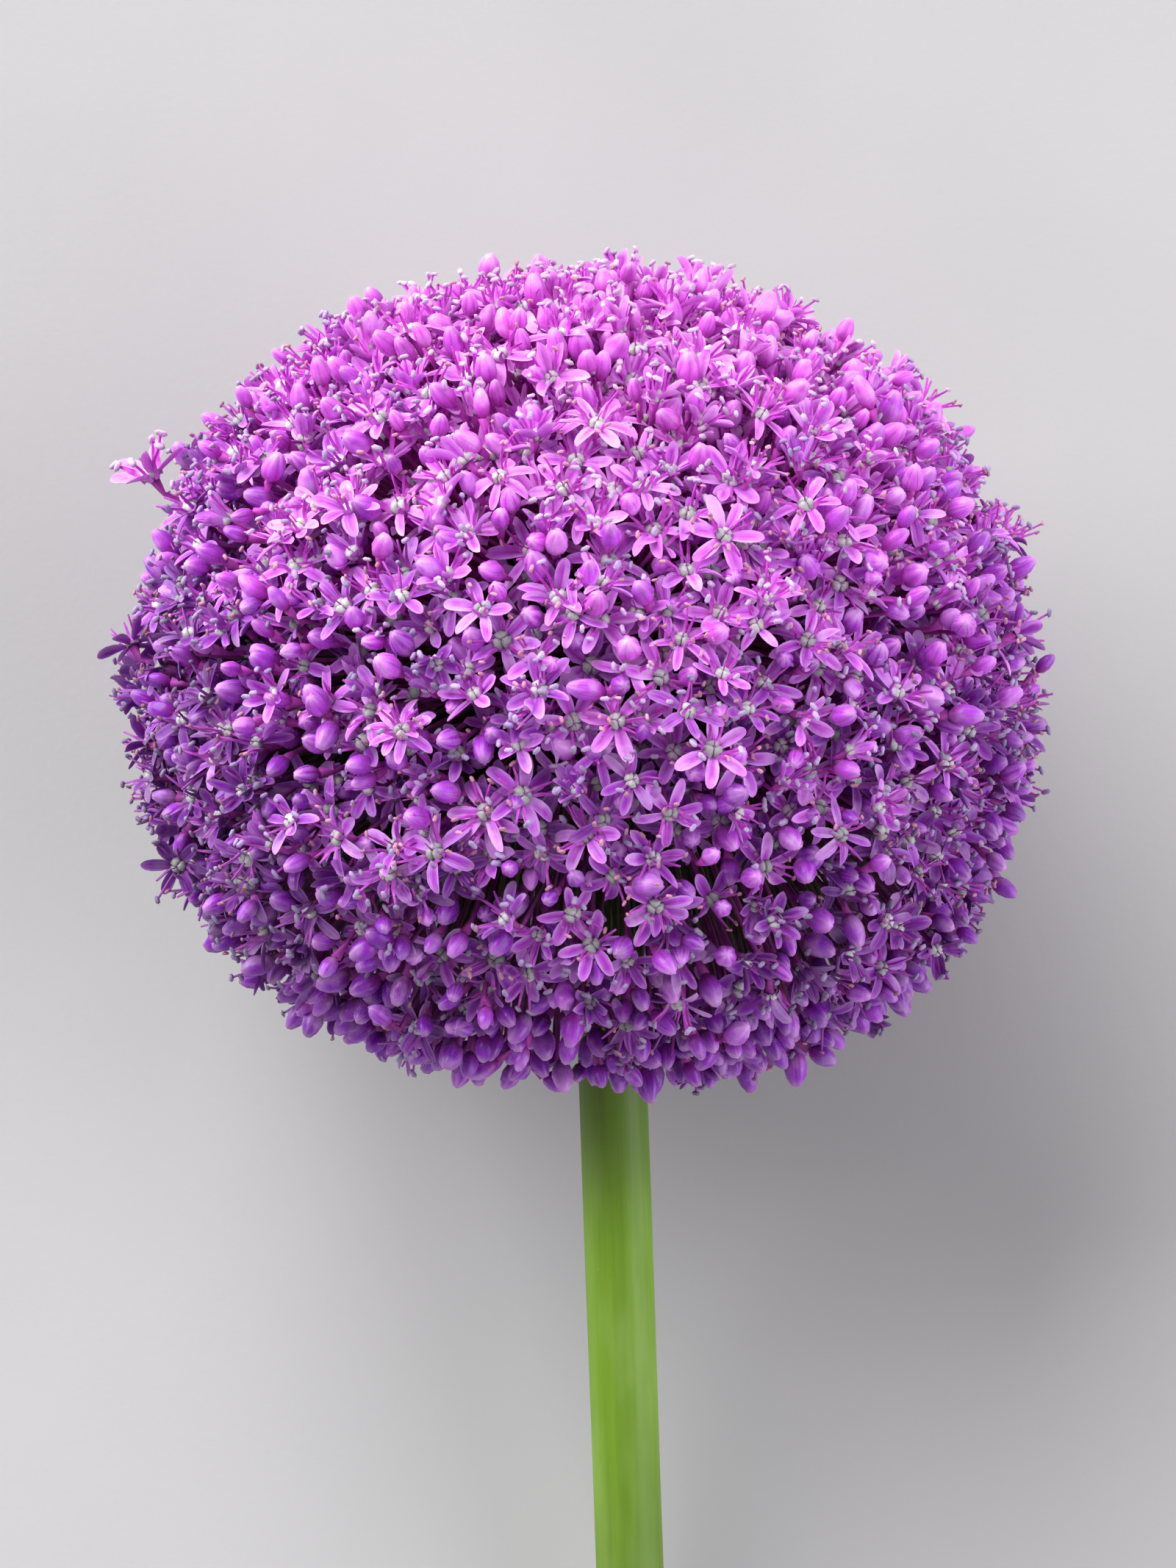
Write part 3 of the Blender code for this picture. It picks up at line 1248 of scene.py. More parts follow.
        ring = len(self.COLUMNS) + 1
        rings = len(detail.tepal_places)
        blade = rings * ring + 1  # the last ring has shrunk to the single vertex of the tip
        points = points.reshape(count, -1, 3)[:, :blade].reshape(-1, 3)
        quads = np.concatenate([sleeve(rings, ring, i * blade) for i in range(count)])
        ends = []
        for first in range(0, count * blade, blade):
            ends.append(fan(range(first, first + ring), True))
            last = first + blade - 1
            ends.append(cone_faces(range(last - ring, last), last, False))
        across = np.append(self.COLUMNS, 0.0)
        grain = np.stack(np.broadcast_arrays(across[None], share[:, None], tone), -1)
        grain = np.tile(grain.reshape(-1, 3)[:blade], (count, 1))
        return Patch(points, quads, np.concatenate(ends), grain, Tissue.TEPAL)


@dataclass(frozen=True)
class Stamens:
    """The six stamens of one floret: a tapering filament with an anther across its tip.

    Attributes:
        length: Of a filament.
        foot_radius: Of a filament where it starts.
        tip_radius: Of a filament below its anther.
        anther_length: From end to end.
        anther_radius: Of its fattest part.
        base_radius: How far from the floret's axis the filaments start.
        dropped: Share of the anthers that have fallen off.
        sides: Vertices a ring of a filament.
        taper: Exponent of the thinning: higher thins the filament sooner.
        pairing: How far every other stamen is turned to the next, as a share of their step.
        inner_share: Length of every other stamen, as a share of the others'.
        foot_lean: Angle of a filament at its foot, as a share of the floret's.
        tip_lean: The same at its tip.
        turn_spread: How much their places around the axis differ.
        length_spread: How much their lengths differ, as a share.
        lean_spread: How much the angles at their tips differ.
        sway_spread: How far the tips bend aside, as a share of the length.
        anther_tip: How much an anther leans out of the plane across its filament.
        anther_range: Between what shares of their size the anthers lie.
        spent_length: Length of an empty anther, as a share of a full one's.
        spent_radius: Radius of an empty anther, as a share of a full one's.
        flatness: Thickness of an anther, as a share of its width.
        seat: How far an anther sits past its filament's tip, as a share of its radius.
    """

    length: float = 4.5 * MM
    foot_radius: float = 0.36 * MM
    tip_radius: float = 0.17 * MM
    anther_length: float = 1.50 * MM
    anther_radius: float = 0.38 * MM
    base_radius: float = 1.0 * MM
    dropped: float = 0.25
    sides: int = 3
    taper: float = 1.6
    pairing: float = 0.5
    inner_share: float = 0.88
    foot_lean: float = 0.35
    tip_lean: float = 1.25
    turn_spread: float = 0.12
    length_spread: float = 0.10
    lean_spread: float = 0.16
    sway_spread: float = 0.10
    anther_tip: float = 0.45
    anther_range: tuple[float, float] = (0.9, 1.1)
    spent_length: float = 0.74
    spent_radius: float = 0.72
    flatness: float = 0.8
    seat: float = 0.5

    COUNT = 6
    AXIS = np.array([0.0, 0.0, 1.0])  # of the floret

    def build(
        self, spread: Spread, tone: float, detail: Detail, rng: np.random.Generator
    ) -> list[Patch]:
        """Models the stamens.

        Args:
            spread: How they stand, and how many are spent.
            tone: The floret's tone, its own share plus its painted shade.
            detail: How finely they are modelled.
            rng: Source of the small differences between stamens.

        Returns:
            The filaments and the anthers, about the floret's axis.
        """
        patches = []
        opening = spread.stamen + spread.loose * rng.normal()
        rings, sides = detail.filament_rings, self.sides
        share = np.linspace(0, 1, rings)
        radii = self.tip_radius + (self.foot_radius - self.tip_radius) * (1 - share) ** self.taper
        for i in range(self.COUNT):
            paired = (i + self.pairing * (i % 2)) * math.pi / 3
            around = paired + self.turn_spread * rng.normal()
            outward = np.array([math.cos(around), math.sin(around), 0.0])
            aside = np.array([-outward[1], outward[0], 0.0])
            length = self.length * (1 + self.length_spread * rng.normal())
            length = length * (self.inner_share if i % 2 else 1.0)
            first = self.foot_lean * opening
            last = opening * self.tip_lean + self.lean_spread * rng.normal()
            lean = first + (last - first) * share
            forward = np.sin(lean)[:, None] * outward + np.cos(lean)[:, None] * self.AXIS
            steps = np.vstack([np.zeros(3), (forward[1:] + forward[:-1]) / 2])
            path = outward * self.base_radius + np.cumsum(steps, 0) * length / (rings - 1)
            sway = self.sway_spread * rng.normal()
            path = path + aside * (sway * length * share**2)[:, None]
            points = tube(path, radii, sides, aside)
            grain = np.repeat(np.stack([share * 0, share, share * 0 + tone], -1), sides, 0)
            end = fan(range((rings - 1) * sides, rings * sides), False)
            patches.append(Patch(points, sleeve(rings, sides), end, grain, Tissue.FILAMENT))
            spent = rng.random() < spread.spent
            anther = self.anther(path[-1], forward[-1], aside, spent, tone, detail, rng)
            if rng.random() > self.dropped:
                patches.append(anther)
        return patches

    def anther(
        self,
        place: Array,
        forward: Array,
        aside: Array,
        spent: bool,
        tone: float,
        detail: Detail,
        rng: np.random.Generator,
    ) -> Patch:
        """Models one anther.

        Args:
            place: The filament's tip.
            forward: The filament's direction there.
            aside: A direction square to it.
            spent: Whether the anther has shed its pollen.
            tone: The floret's tone, its own share plus its painted shade.
            detail: How finely it is modelled.
            rng: Source of its pose.

        Returns:
            The anther.
        """
        turn = rng.uniform(0, 2 * math.pi)
        long_axis = math.cos(turn) * aside + math.sin(turn) * np.cross(forward, aside)
        long_axis = unit(long_axis + forward * rng.normal() * self.anther_tip)
        wide = unit(np.cross(long_axis, forward))
        thick = np.cross(long_axis, wide)
        size = rng.uniform(*self.anther_range)
        half = self.anther_length / 2 * size * (self.spent_length if spent else 1.0)
        radius = self.anther_radius * size * (self.spent_radius if spent else 1.0)

        sides, places = detail.anther_sides, np.array(detail.anther_places)
        turns = np.arange(sides) * 2 * math.pi / sides
        rings = (
            long_axis * (half * places)[:, None, None]
            + wide * (radius * np.cos(turns))[:, None]
            + thick * (self.flatness * radius * np.sin(turns))[:, None]
        )
        middle = place + forward * radius * self.seat
        points = np.vstack([rings.reshape(-1, 3), [-long_axis * half, long_axis * half]]) + middle
        count = places.size * sides
        triangles = np.concatenate([
            cone_faces(range(sides), count, True),
            cone_faces(range(count - sides, count), count + 1, False),
        ])
        # one column carries the painted shade of the groove between the sacs
        groove = np.append(np.tile(np.arange(sides) == 1, places.size), [False, False])
        grain = np.column_stack([
            np.full(count + 2, float(spent)), groove.astype(float), np.full(count + 2, tone)
        ])
        return Patch(points, sleeve(places.size, sides), triangles, grain, Tissue.ANTHER)


@dataclass(frozen=True)
class Ovary:
    """The three-lobed ovary with its style.

    Attributes:
        radius: Over the lobes.
        height: Over the lobes.
        style_length: Of the style above the ovary.
        style_radius: At its foot.
        style_sides: Vertices a ring of the style.
        foot: Radius of its foot, as a share of its outline.
        doming: How much lower its rim is than its crown, as a share of the height.
        middle: Height of the dip between the lobes, as a share of the height.
        style_foot: Where the style starts, as a share of the dip's height.
        style_range: Between what shares of its length the style lies.
        style_lean: How far the style's tip leans, as a share of its length.
    """

    radius: float = 1.30 * MM
    height: float = 1.55 * MM
    style_length: float = 2.0 * MM
    style_radius: float = 0.15 * MM
    style_sides: int = 3
    foot: float = 0.7
    doming: float = 0.60
    middle: float = 0.84
    style_foot: float = 0.95
    style_range: tuple[float, float] = (0.7, 1.1)
    style_lean: float = 0.12

    LOBES = 3
    LOBE_TURN = np.radians([0.0, 43.0, 60.0, 77.0])  # a lobe's middle, its shoulders and the groove
    LOBE_OUTLINE = np.array([1.0, 0.97, 0.66, 0.97])  # distance from the axis there, as a share
    LOBE_HEIGHT = np.array([1.0, 0.97, 0.74, 0.97])  # height there, as a share
    LOBE_SHARE = np.array([1.0, 0.9, 0.0, 0.9])  # 0 in the groove and 1 on a lobe, for the finish
    DIP_GRAIN = (0.1, 0.9)  # the lobe and height values of the dip
    STYLE_TAPER = np.array([1.0, 0.75, 0.62])  # radii from its foot to its tip, as shares

    def build(
        self, size: float, tone: float, detail: Detail, rng: np.random.Generator
    ) -> list[Patch]:
        """Models the ovary and the style.

        Args:
            size: Its size, as a share of the full one.
            tone: Its tone, from pale to grey: its ripeness plus its floret's painted shade.
            detail: How finely it is modelled.
            rng: Source of the style's lean.

        Returns:
            The ovary and the style, on the floret's axis.
        """
        sides = self.LOBES * len(self.LOBE_OUTLINE)
        first = np.arange(self.LOBES)[:, None] * 2 * math.pi / self.LOBES
        turn = (self.LOBE_TURN + first).ravel()
        lobe = np.tile(self.LOBE_SHARE, self.LOBES)
        outline = self.radius * size * np.tile(self.LOBE_OUTLINE, self.LOBES)
        foot = self.foot * outline
        rings = [np.column_stack([foot * np.cos(turn), foot * np.sin(turn), turn * 0])]
        grain = [np.column_stack([lobe, turn * 0, turn * 0 + tone])]
        for share in detail.ovary_shares:
            crown = (1 - self.doming * share**4) * np.tile(self.LOBE_HEIGHT, self.LOBES)
            out = share * outline
            height = self.height * size * crown
            rings.append(np.column_stack([out * np.cos(turn), out * np.sin(turn), height]))
            grain.append(np.column_stack([lobe, crown, turn * 0 + tone]))
        top = self.height * size * self.middle
        points = np.vstack([*rings, [[0.0, 0.0, top]]])
        grain_values = np.vstack([*grain, [[*self.DIP_GRAIN, tone]]])
        count = len(detail.ovary_shares) + 1
        last = count * sides
        triangles = cone_faces(range(last - sides, last), last, False)
        body = Patch(points, sleeve(count, sides), triangles, grain_values, Tissue.OVARY)

        lean = rng.normal(size=2) * self.style_lean
        count = len(self.STYLE_TAPER)
        share = np.linspace(0, 1, count)
        path = np.column_stack([
            lean[0] * share**2 * self.style_length,
            lean[1] * share**2 * self.style_length,
            top * self.style_foot + share * self.style_length * rng.uniform(*self.style_range),
        ])
        sides = self.style_sides
        points = tube(path, self.style_radius * self.STYLE_TAPER, sides, np.array([0.0, 1.0, 0.0]))
        grain_values = np.repeat(
            np.column_stack([share * 0, 0.5 + share / 2, share * 0 + tone]), sides, 0
        )
        end = fan(range((count - 1) * sides, count * sides), False)
        style = Patch(points, sleeve(count, sides), end, grain_values, Tissue.FILAMENT)
        return [body, style]


@dataclass(frozen=True)
class Bud:
    """A closed floret: three outer tepals that overlap three inner ones.

    Attributes:
        length: From its base to its tip.
        radius: Of its fattest part.
        length_range: Between what shares of the length the buds lie.
        radius_range: Between what shares of the radius they lie.
        base_round: Exponent of the swelling from the base: lower makes the base blunter.
        tip_round: Exponent of the narrowing to the tip: lower makes the tip blunter.
        seam_depth: Depth of the seams at the base, as a share of the radius.
        seam_deepening: How much deeper they are at the tip.
        overlap: How far the outer midribs stand out, and the inner ones in, as a share.
        tip_point: How much longer a tepal is at its midrib than at its seams, as a share.
        tip_step: How much longer the outer tepals, and shorter the inner ones, are, as a share.
        twist_spread: How much the tepals wind round the tip.
        bend_spread: How far the tip bends aside, as a share of the length.
        tip: Height of the point at which the tepals meet, as a share of the length.
    """

    length: float = 4.8 * MM
    radius: float = 1.50 * MM
    length_range: tuple[float, float] = (0.94, 1.08)
    radius_range: tuple[float, float] = (0.90, 1.08)
    base_round: float = 0.56
    tip_round: float = 0.72
    seam_depth: float = 0.07
    seam_deepening: float = 0.10
    overlap: float = 0.035
    tip_point: float = 0.05
    tip_step: float = 0.02
    twist_spread: float = 0.25
    bend_spread: float = 0.05
    tip: float = 0.97

    BELLY_TOP = 0.4159  # the greatest value that the two exponents give between base and tip
    BASE_GRAIN = (0.5, 0.0)  # the seam and height values of the base
    TIP_GRAIN = (0.9, 1.0)  # and of the tip

    def build(self, tone: float, detail: Detail, rng: np.random.Generator) -> Patch:
        """Models the bud.

        Args:
            tone: Its tone, its own share plus the painted shade of where it stands.
            detail: How finely it is modelled.
            rng: Source of its proportions.

        Returns:
            The bud, on the floret's axis.
        """
        length = self.length * rng.uniform(*self.length_range)
        radius = self.radius * rng.uniform(*self.radius_range)
        sides, rows = detail.bud_sides, np.array(detail.bud_places)[:, None]
        column = np.arange(sides)
        per_tepal = sides // Tepals.COUNT
        from_middle = np.abs(column % per_tepal / per_tepal * 2 - 1)  # 1 at a seam, 0 at a midrib
        outer = np.where((column // per_tepal) % 2 == 0, 1.0, -1.0)
        belly = rows**self.base_round * (1 - rows) ** self.tip_round / self.BELLY_TOP
        seam = (self.seam_depth + self.seam_deepening * rows**2) * from_middle**2
        fold = 1 - seam + self.overlap * outer * (1 - from_middle)
        tips = 1 - self.tip_point * (from_middle - 0.5) * rows**4 + self.tip_step * outer * rows**4
        twist = rng.normal() * self.twist_spread
        bend = rng.normal(size=2) * self.bend_spread * length
        angle = column * 2 * math.pi / sides + twist * rows**2
        out = radius * belly * fold
        points = np.stack([
            out * np.cos(angle) + bend[0] * rows**2,
            out * np.sin(angle) + bend[1] * rows**2,
            length * rows * tips,
        ], -1).reshape(-1, 3)
        ends = np.array([[0.0, 0.0, 0.0], [bend[0], bend[1], self.tip * length]])
        points = np.vstack([points, ends])
        grain = np.stack(np.broadcast_arrays(from_middle, rows, tone), -1)
        ends = [[*self.BASE_GRAIN, tone], [*self.TIP_GRAIN, tone]]
        grain = np.vstack([grain.reshape(-1, 3), ends])
        count = rows.size * sides
        triangles = np.concatenate([
            cone_faces(range(sides), count, True),
            cone_faces(range(count - sides, count), count + 1, False),
        ])
        return Patch(points, sleeve(rows.size, sides), triangles, grain, Tissue.BUD)


@dataclass(frozen=True)
class Pedicel:
    """The thin stalk that carries one floret.

    Attributes:
        root_radius: At the receptacle.
        top_radius: Below the floret.
        flare_radius: Of the little dish that the floret sits on.
        stiffness: How far it keeps its direction at each end, as a share of its length.
    """

    root_radius: float = 0.30 * MM
    top_radius: float = 0.35 * MM
    flare_radius: float = 0.80 * MM
    stiffness: float = 0.38

    SHARES = np.array([0.0, 0.50, 0.96, 1.0])  # places along it; the dish is at the last

    def build(
        self, root: Array, outward: Array, base: Array, axis: Array, tone: float, sides: int
    ) -> Patch:
        """Models the stalk.

        Args:
            root: Where it leaves the receptacle.
            outward: Its direction there.
            base: Where the floret sits.
            axis: The floret's axis.
            tone: The floret's tone, its own share plus its painted shade.
            sides: Vertices a ring.

        Returns:
            The stalk, in plant coordinates.
        """
        length = np.linalg.norm(base - root)
        leaving = root + outward * self.stiffness * length
        arriving = base - axis * self.stiffness * length
        share = self.SHARES[:, None]
        path = (
            (1 - share) ** 3 * root
            + 3 * (1 - share) ** 2 * share * leaving
            + 3 * (1 - share) * share**2 * arriving
            + share**3 * base
        )
        radii = self.root_radius + (self.top_radius - self.root_radius) * self.SHARES
        radii[-1] = self.flare_radius
        points = tube(path, radii, sides, across_from(unit(base - root)))
        grain = np.repeat(
            np.column_stack([self.SHARES * 0, self.SHARES, self.SHARES * 0 + tone]), sides, 0
        )
        rings = len(self.SHARES)
        ends = np.concatenate([
            fan(range(sides), True),
            fan(range((rings - 1) * sides, rings * sides), False),
        ])
        return Patch(points, sleeve(rings, sides), ends, grain, Tissue.PEDICEL)


@dataclass(frozen=True)
class Floret:
    """One floret and where it stands, in plant coordinates.

    Attributes:
        growth: How far it has come.
        root: Where its pedicel leaves the receptacle.
        base: Where its pedicel ends.
        axis: The direction it faces.
        tone: Its tone, from pink at 0 to violet at 1: its own share plus painted shade that is higher low
            down and at the sides.
        size: Its size, as a share of the full one.
        sunk: How far below the umbel's outline it ends; below zero if it stands out past it.
    """

    growth: Growth
    root: Array
    base: Array
    axis: Array
    tone: float
    size: float
    sunk: float

    OVARY_RANGE = (0.88, 1.08)  # between what shares of their size the ovaries lie
    OVARY_TONE = 0.7  # how much of the floret's tone, and with it its painted shade, its ovary takes

    def build(self, detail: Detail, rng: np.random.Generator) -> list[Patch]:
        """Models the floret with its pedicel.

        Args:
            detail: How finely it is modelled.
            rng: Source of its small differences from the others.

        Returns:
            Its patches, in plant coordinates.
        """
        spin = rng.uniform(0, 2 * math.pi)
        first = across_from(self.axis)
        second = np.cross(self.axis, first)
        basis = np.array([
            math.cos(spin) * first + math.sin(spin) * second,
            math.cos(spin) * second - math.sin(spin) * first,
            self.axis,
        ])
        if self.growth is Growth.BUD:
            parts = [Bud().build(self.tone, detail, rng)]
        else:
            spread = SPREADS[self.growth]
            parts = [Tepals().build(spread, self.tone, detail, rng)]
            ovary_size = rng.uniform(*self.OVARY_RANGE)
            parts += Ovary().build(ovary_size, spread.ripe + self.OVARY_TONE * self.tone, detail, rng)
            if detail.filament_rings:
                parts += Stamens().build(spread, self.tone, detail, rng)
        placed = [part.placed(self.base, basis * self.size) for part in parts]
        stalk = Pedicel().build(
            self.root, unit(self.root), self.base, self.axis, self.tone, detail.pedicel_sides
        )
        return [*placed, stalk]


# ---- The umbel ----------------------------------------------------------------------------------
@dataclass(frozen=True)
class Ageing:
    """How far the florets of the umbel have come.

    Attributes:
        buds: Share of buds in the upper part.
        side_buds: How much higher it is at the +X side.
        low_buds: How much higher it is low down.
        low_belt: Polar angles between which it rises to that.
        young: Share of half-open and cupped florets among those that have opened.
        top_young: How much higher it is at the top.
        top_belt: Cosines of the polar angles between which it rises to that.
        half_open: Share of the young ones that are no more than half open.
        faded: Share of faded florets among those that have opened.
    """

    buds: float = 0.46
    side_buds: float = 0.12
    low_buds: float = 0.48
    low_belt: tuple[float, float] = (math.radians(104), math.radians(148))
    young: float = 0.24
    top_young: float = 0.26
    top_belt: tuple[float, float] = (0.45, 0.85)
    half_open: float = 0.45
    faded: float = 0.28

    def growth(self, towards: Array, place: float, rng: np.random.Generator) -> Growth:
        """Picks how far a floret has come: the low ones are mostly still buds.

        Args:
            towards: The floret's direction.
            place: Its place in an even mix, from 0 to 1.
            rng: Source of the pick among the open ones.

        Returns:
            Its growth.
        """
        polar = math.acos(towards[2])
        buds = self.buds + self.side_buds * max(towards[0], 0) ** 2
        buds += self.low_buds * smooth_step(polar, *self.low_belt)
        if place < buds:
            return Growth.BUD
        pick = rng.random()
        young = self.young + self.top_young * smooth_step(towards[2], *self.top_belt)
        if pick < self.half_open * young:
            return Growth.HALF_OPEN
        if pick < young:
            return Growth.CUPPED
        return Growth.FADED if pick < young + self.faded else Growth.OPEN


@dataclass(frozen=True)
class Umbel:
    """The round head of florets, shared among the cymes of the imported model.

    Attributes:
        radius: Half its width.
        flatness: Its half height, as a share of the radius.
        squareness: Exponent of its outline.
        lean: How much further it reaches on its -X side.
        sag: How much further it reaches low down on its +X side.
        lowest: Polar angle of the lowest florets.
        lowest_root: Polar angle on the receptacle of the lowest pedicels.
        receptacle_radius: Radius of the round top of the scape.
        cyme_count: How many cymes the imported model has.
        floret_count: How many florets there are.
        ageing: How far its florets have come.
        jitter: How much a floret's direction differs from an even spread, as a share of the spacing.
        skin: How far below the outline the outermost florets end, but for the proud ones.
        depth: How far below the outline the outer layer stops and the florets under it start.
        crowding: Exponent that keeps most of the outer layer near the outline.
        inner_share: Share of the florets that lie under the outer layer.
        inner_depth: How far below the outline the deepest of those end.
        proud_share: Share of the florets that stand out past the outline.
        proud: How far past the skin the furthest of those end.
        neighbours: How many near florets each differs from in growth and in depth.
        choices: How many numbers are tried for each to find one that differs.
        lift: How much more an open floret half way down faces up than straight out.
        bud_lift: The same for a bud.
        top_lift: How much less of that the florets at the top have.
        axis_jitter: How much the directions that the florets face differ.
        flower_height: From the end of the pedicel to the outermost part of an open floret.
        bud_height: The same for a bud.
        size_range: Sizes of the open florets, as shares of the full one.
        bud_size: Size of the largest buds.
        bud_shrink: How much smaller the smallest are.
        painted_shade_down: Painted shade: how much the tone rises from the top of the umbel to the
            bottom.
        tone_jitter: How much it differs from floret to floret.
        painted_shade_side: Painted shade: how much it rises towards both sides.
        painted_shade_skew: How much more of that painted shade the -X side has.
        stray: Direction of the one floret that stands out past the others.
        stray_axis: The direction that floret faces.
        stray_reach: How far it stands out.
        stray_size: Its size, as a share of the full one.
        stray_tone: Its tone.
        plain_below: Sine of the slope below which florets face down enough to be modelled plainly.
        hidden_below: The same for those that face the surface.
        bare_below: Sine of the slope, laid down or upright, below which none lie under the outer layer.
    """

    radius: float
    flatness: float = 0.908
    squareness: float = 2.15
    lean: float = 0.0023
    sag: float = 0.006
    lowest: float = math.radians(161)
    lowest_root: float = math.radians(122)
    receptacle_radius: float = 9.0 * MM
    cyme_count: int = 48
    floret_count: int = 3900
    ageing: Ageing = Ageing()
    jitter: float = 0.24
    skin: float = 1.0 * MM
    depth: float = 6.5 * MM
    crowding: float = 1.6
    inner_share: float = 0.32
    inner_depth: float = 11.5 * MM
    proud_share: float = 0.09
    proud: float = 2.4 * MM
    neighbours: int = 4
    choices: int = 16
    lift: float = 0.44
    bud_lift: float = 0.20
    top_lift: float = 0.55
    axis_jitter: float = 0.30
    flower_height: float = 4.4 * MM
    bud_height: float = 4.7 * MM
    size_range: tuple[float, float] = (0.90, 1.08)
    bud_size: float = 1.12
    bud_shrink: float = 0.38
    painted_shade_down: float = 0.7
    tone_jitter: float = 0.3
    painted_shade_side: float = 0.22
    painted_shade_skew: float = 0.08
    stray: tuple[float, float, float] = (-0.89, -0.10, 0.44)
    stray_axis: tuple[float, float, float] = (-0.50, -0.15, 0.85)
    stray_reach: float = 6.2 * MM
    stray_size: float = 1.26
    stray_tone: float = 0.05
    plain_below: float = -0.25
    hidden_below: float = -0.62
    bare_below: float = -0.35

    def directions(self, count: int) -> Array:
        """Spreads directions evenly from the top of the umbel to its lowest florets.

        Args:
            count: How many.

        Returns:
            Unit vectors on a spiral, one a row.
        """
        number = np.arange(count) + 0.5
        height = 1 - number / count * (1 - math.cos(self.lowest))
        across = np.sqrt(1 - height**2)
        around = np.arange(count) * GOLDEN_ANGLE
        return np.column_stack([across * np.cos(around), across * np.sin(around), height])

    def reach(self, towards: Array) -> Array:
        """How far the umbel's outline lies from the middle of the receptacle.

        Args:
            towards: Directions, one a row.

        Returns:
            The distance in each direction.
        """
        across = np.hypot(towards[:, 0], towards[:, 1]) / self.radius
        along = np.abs(towards[:, 2]) / (self.radius * self.flatness)
        power = self.squareness
        low = np.maximum(towards[:, 0], 0) * np.maximum(-towards[:, 2], 0)
        even = (across**power + along**power) ** (-1 / power)
        return even - self.lean * towards[:, 0] + self.sag * low

    def roots(self, towards: Array) -> Array:
        """Where on the receptacle the pedicels start.

        Args:
            towards: The directions of their florets, one a row.

        Returns:
            Unit vectors, one a row.
        """
        polar = np.arccos(np.clip(towards[:, 2], -1, 1)) * self.lowest_root / self.lowest
        around = np.arctan2(towards[:, 1], towards[:, 0])
        return np.column_stack([
            np.sin(polar) * np.cos(around), np.sin(polar) * np.sin(around), np.cos(polar)
        ])

    def even_mix(self, towards: Array, rng: np.random.Generator) -> Array:
        """Numbers from 0 to 1, one for each direction, that differ most between near neighbours.

        Args:
            towards: The directions, from the top of the umbel down.
            rng: Source of the numbers.

        Returns:
            The numbers.
        """
        mix = rng.random(len(towards))
        for i in range(self.neighbours, len(towards)):
            nearness = towards[:i] @ towards[i]
            near = np.argpartition(-nearness, self.neighbours - 1)[: self.neighbours]
            choices = rng.random(self.choices)
            gaps = np.abs(choices[:, None] - mix[near])
            gaps = np.minimum(gaps, 1 - gaps)  # 0 and 1 count as close to each other
            mix[i] = choices[np.argmax(gaps.min(1))]
        return mix

    def sinking(self, place: float, rng: np.random.Generator) -> float:
        """How far below the outline a floret ends, for its place in an even mix from 0 to 1.

        Args:
            place: Its place.
            rng: Source of the depth among the deepest and the furthest out.

        Returns:
            The depth, below zero for a floret that stands out past the outline.
        """
        if place < self.inner_share:
            return rng.uniform(self.depth, self.inner_depth)
        if place > 1 - self.proud_share:
            return self.skin - rng.uniform(0.0, self.proud)
        deep = ((place - self.inner_share) / (1 - self.inner_share)) ** self.crowding
        return self.skin + (self.depth - self.skin) * deep

    def facing(self, towards: Array, growth: Growth, rng: np.random.Generator) -> Array:
        """The axis of a floret: outwards, and somewhat upwards.

        Args:
            towards: The floret's direction.
            growth: How far it has come.
            rng: Source of its own lean.

        Returns:
            The axis, a unit vector.
        """
        lift = self.bud_lift if growth is Growth.BUD else self.lift
        lift *= (1 + towards[2]) * (1 - self.top_lift * max(towards[2], 0))
        return unit(towards + np.array([0.0, 0.0, lift]) + self.axis_jitter * rng.normal(size=3))

    def size(self, growth: Growth, rng: np.random.Generator) -> float:
        """The size of a floret, as a share of the full one.

        Args:
            growth: How far it has come.
            rng: Source of the size.

        Returns:
            The size.
        """
        size = rng.uniform(*self.size_range)
        if growth is Growth.BUD:
            size = self.bud_size - self.bud_shrink * rng.random()
        return size

    def tone(self, towards: Array, rng: np.random.Generator) -> float:
        """The tone of a floret, from pink at 0 to violet at 1: a random share of its own, plus painted
        shade that makes it bluer and darker low down and at the sides.

        Args:
            towards: The floret's direction.
            rng: Source of its own share.

        Returns:
            The tone.
        """
        own = self.tone_jitter * rng.random()
        # painted shade: the tone rises at the sides and from the top down, and the finishes darken and
        # blue the florets with it
        side = (self.painted_shade_side - self.painted_shade_skew * towards[0]) * towards[0] ** 2
        return self.painted_shade_down * (1 - towards[2]) / 2 + own + side

    def florets(self, rng: np.random.Generator) -> Iterator[tuple[int, Floret]]:
        """Places every floret.

        Args:
            rng: Source of their small differences.

        Yields:
            The number of the floret's cyme, from 0, and the floret.
        """
        towards = self.directions(self.floret_count)
        spacing = math.sqrt(2 * math.pi * (1 - math.cos(self.lowest)) / self.floret_count)
        towards = unit(towards + rng.normal(size=towards.shape) * self.jitter * spacing)
        stray = int(np.argmax(towards @ unit(np.array(self.stray))))
        reach = self.reach(towards)
        roots = self.roots(towards)
        cymes = self.roots(self.directions(self.cyme_count))
        nearest = np.argmax(roots @ cymes.T, 1)
        stages, depths = self.even_mix(towards, rng), self.even_mix(towards, rng)
        for number, (way, root, far) in enumerate(zip(towards, roots, reach)):
            growth = self.ageing.growth(way, stages[number], rng)
            if number == stray:
                growth = Growth.CUPPED
            sunk = self.sinking(depths[number], rng)
            axis = self.facing(way, growth, rng)
            size = self.size(growth, rng)
            tone = self.tone(way, rng)
            if number == stray:
                sunk, axis = -self.stray_reach, unit(np.array(self.stray_axis))
                size, tone = self.stray_size, self.stray_tone
            height = self.bud_height if growth is Growth.BUD else self.flower_height
            base = way * (far - sunk) - axis * height * size
            start = root * self.receptacle_radius
            yield int(nearest[number]), Floret(growth, start, base, axis, tone, size, sunk)

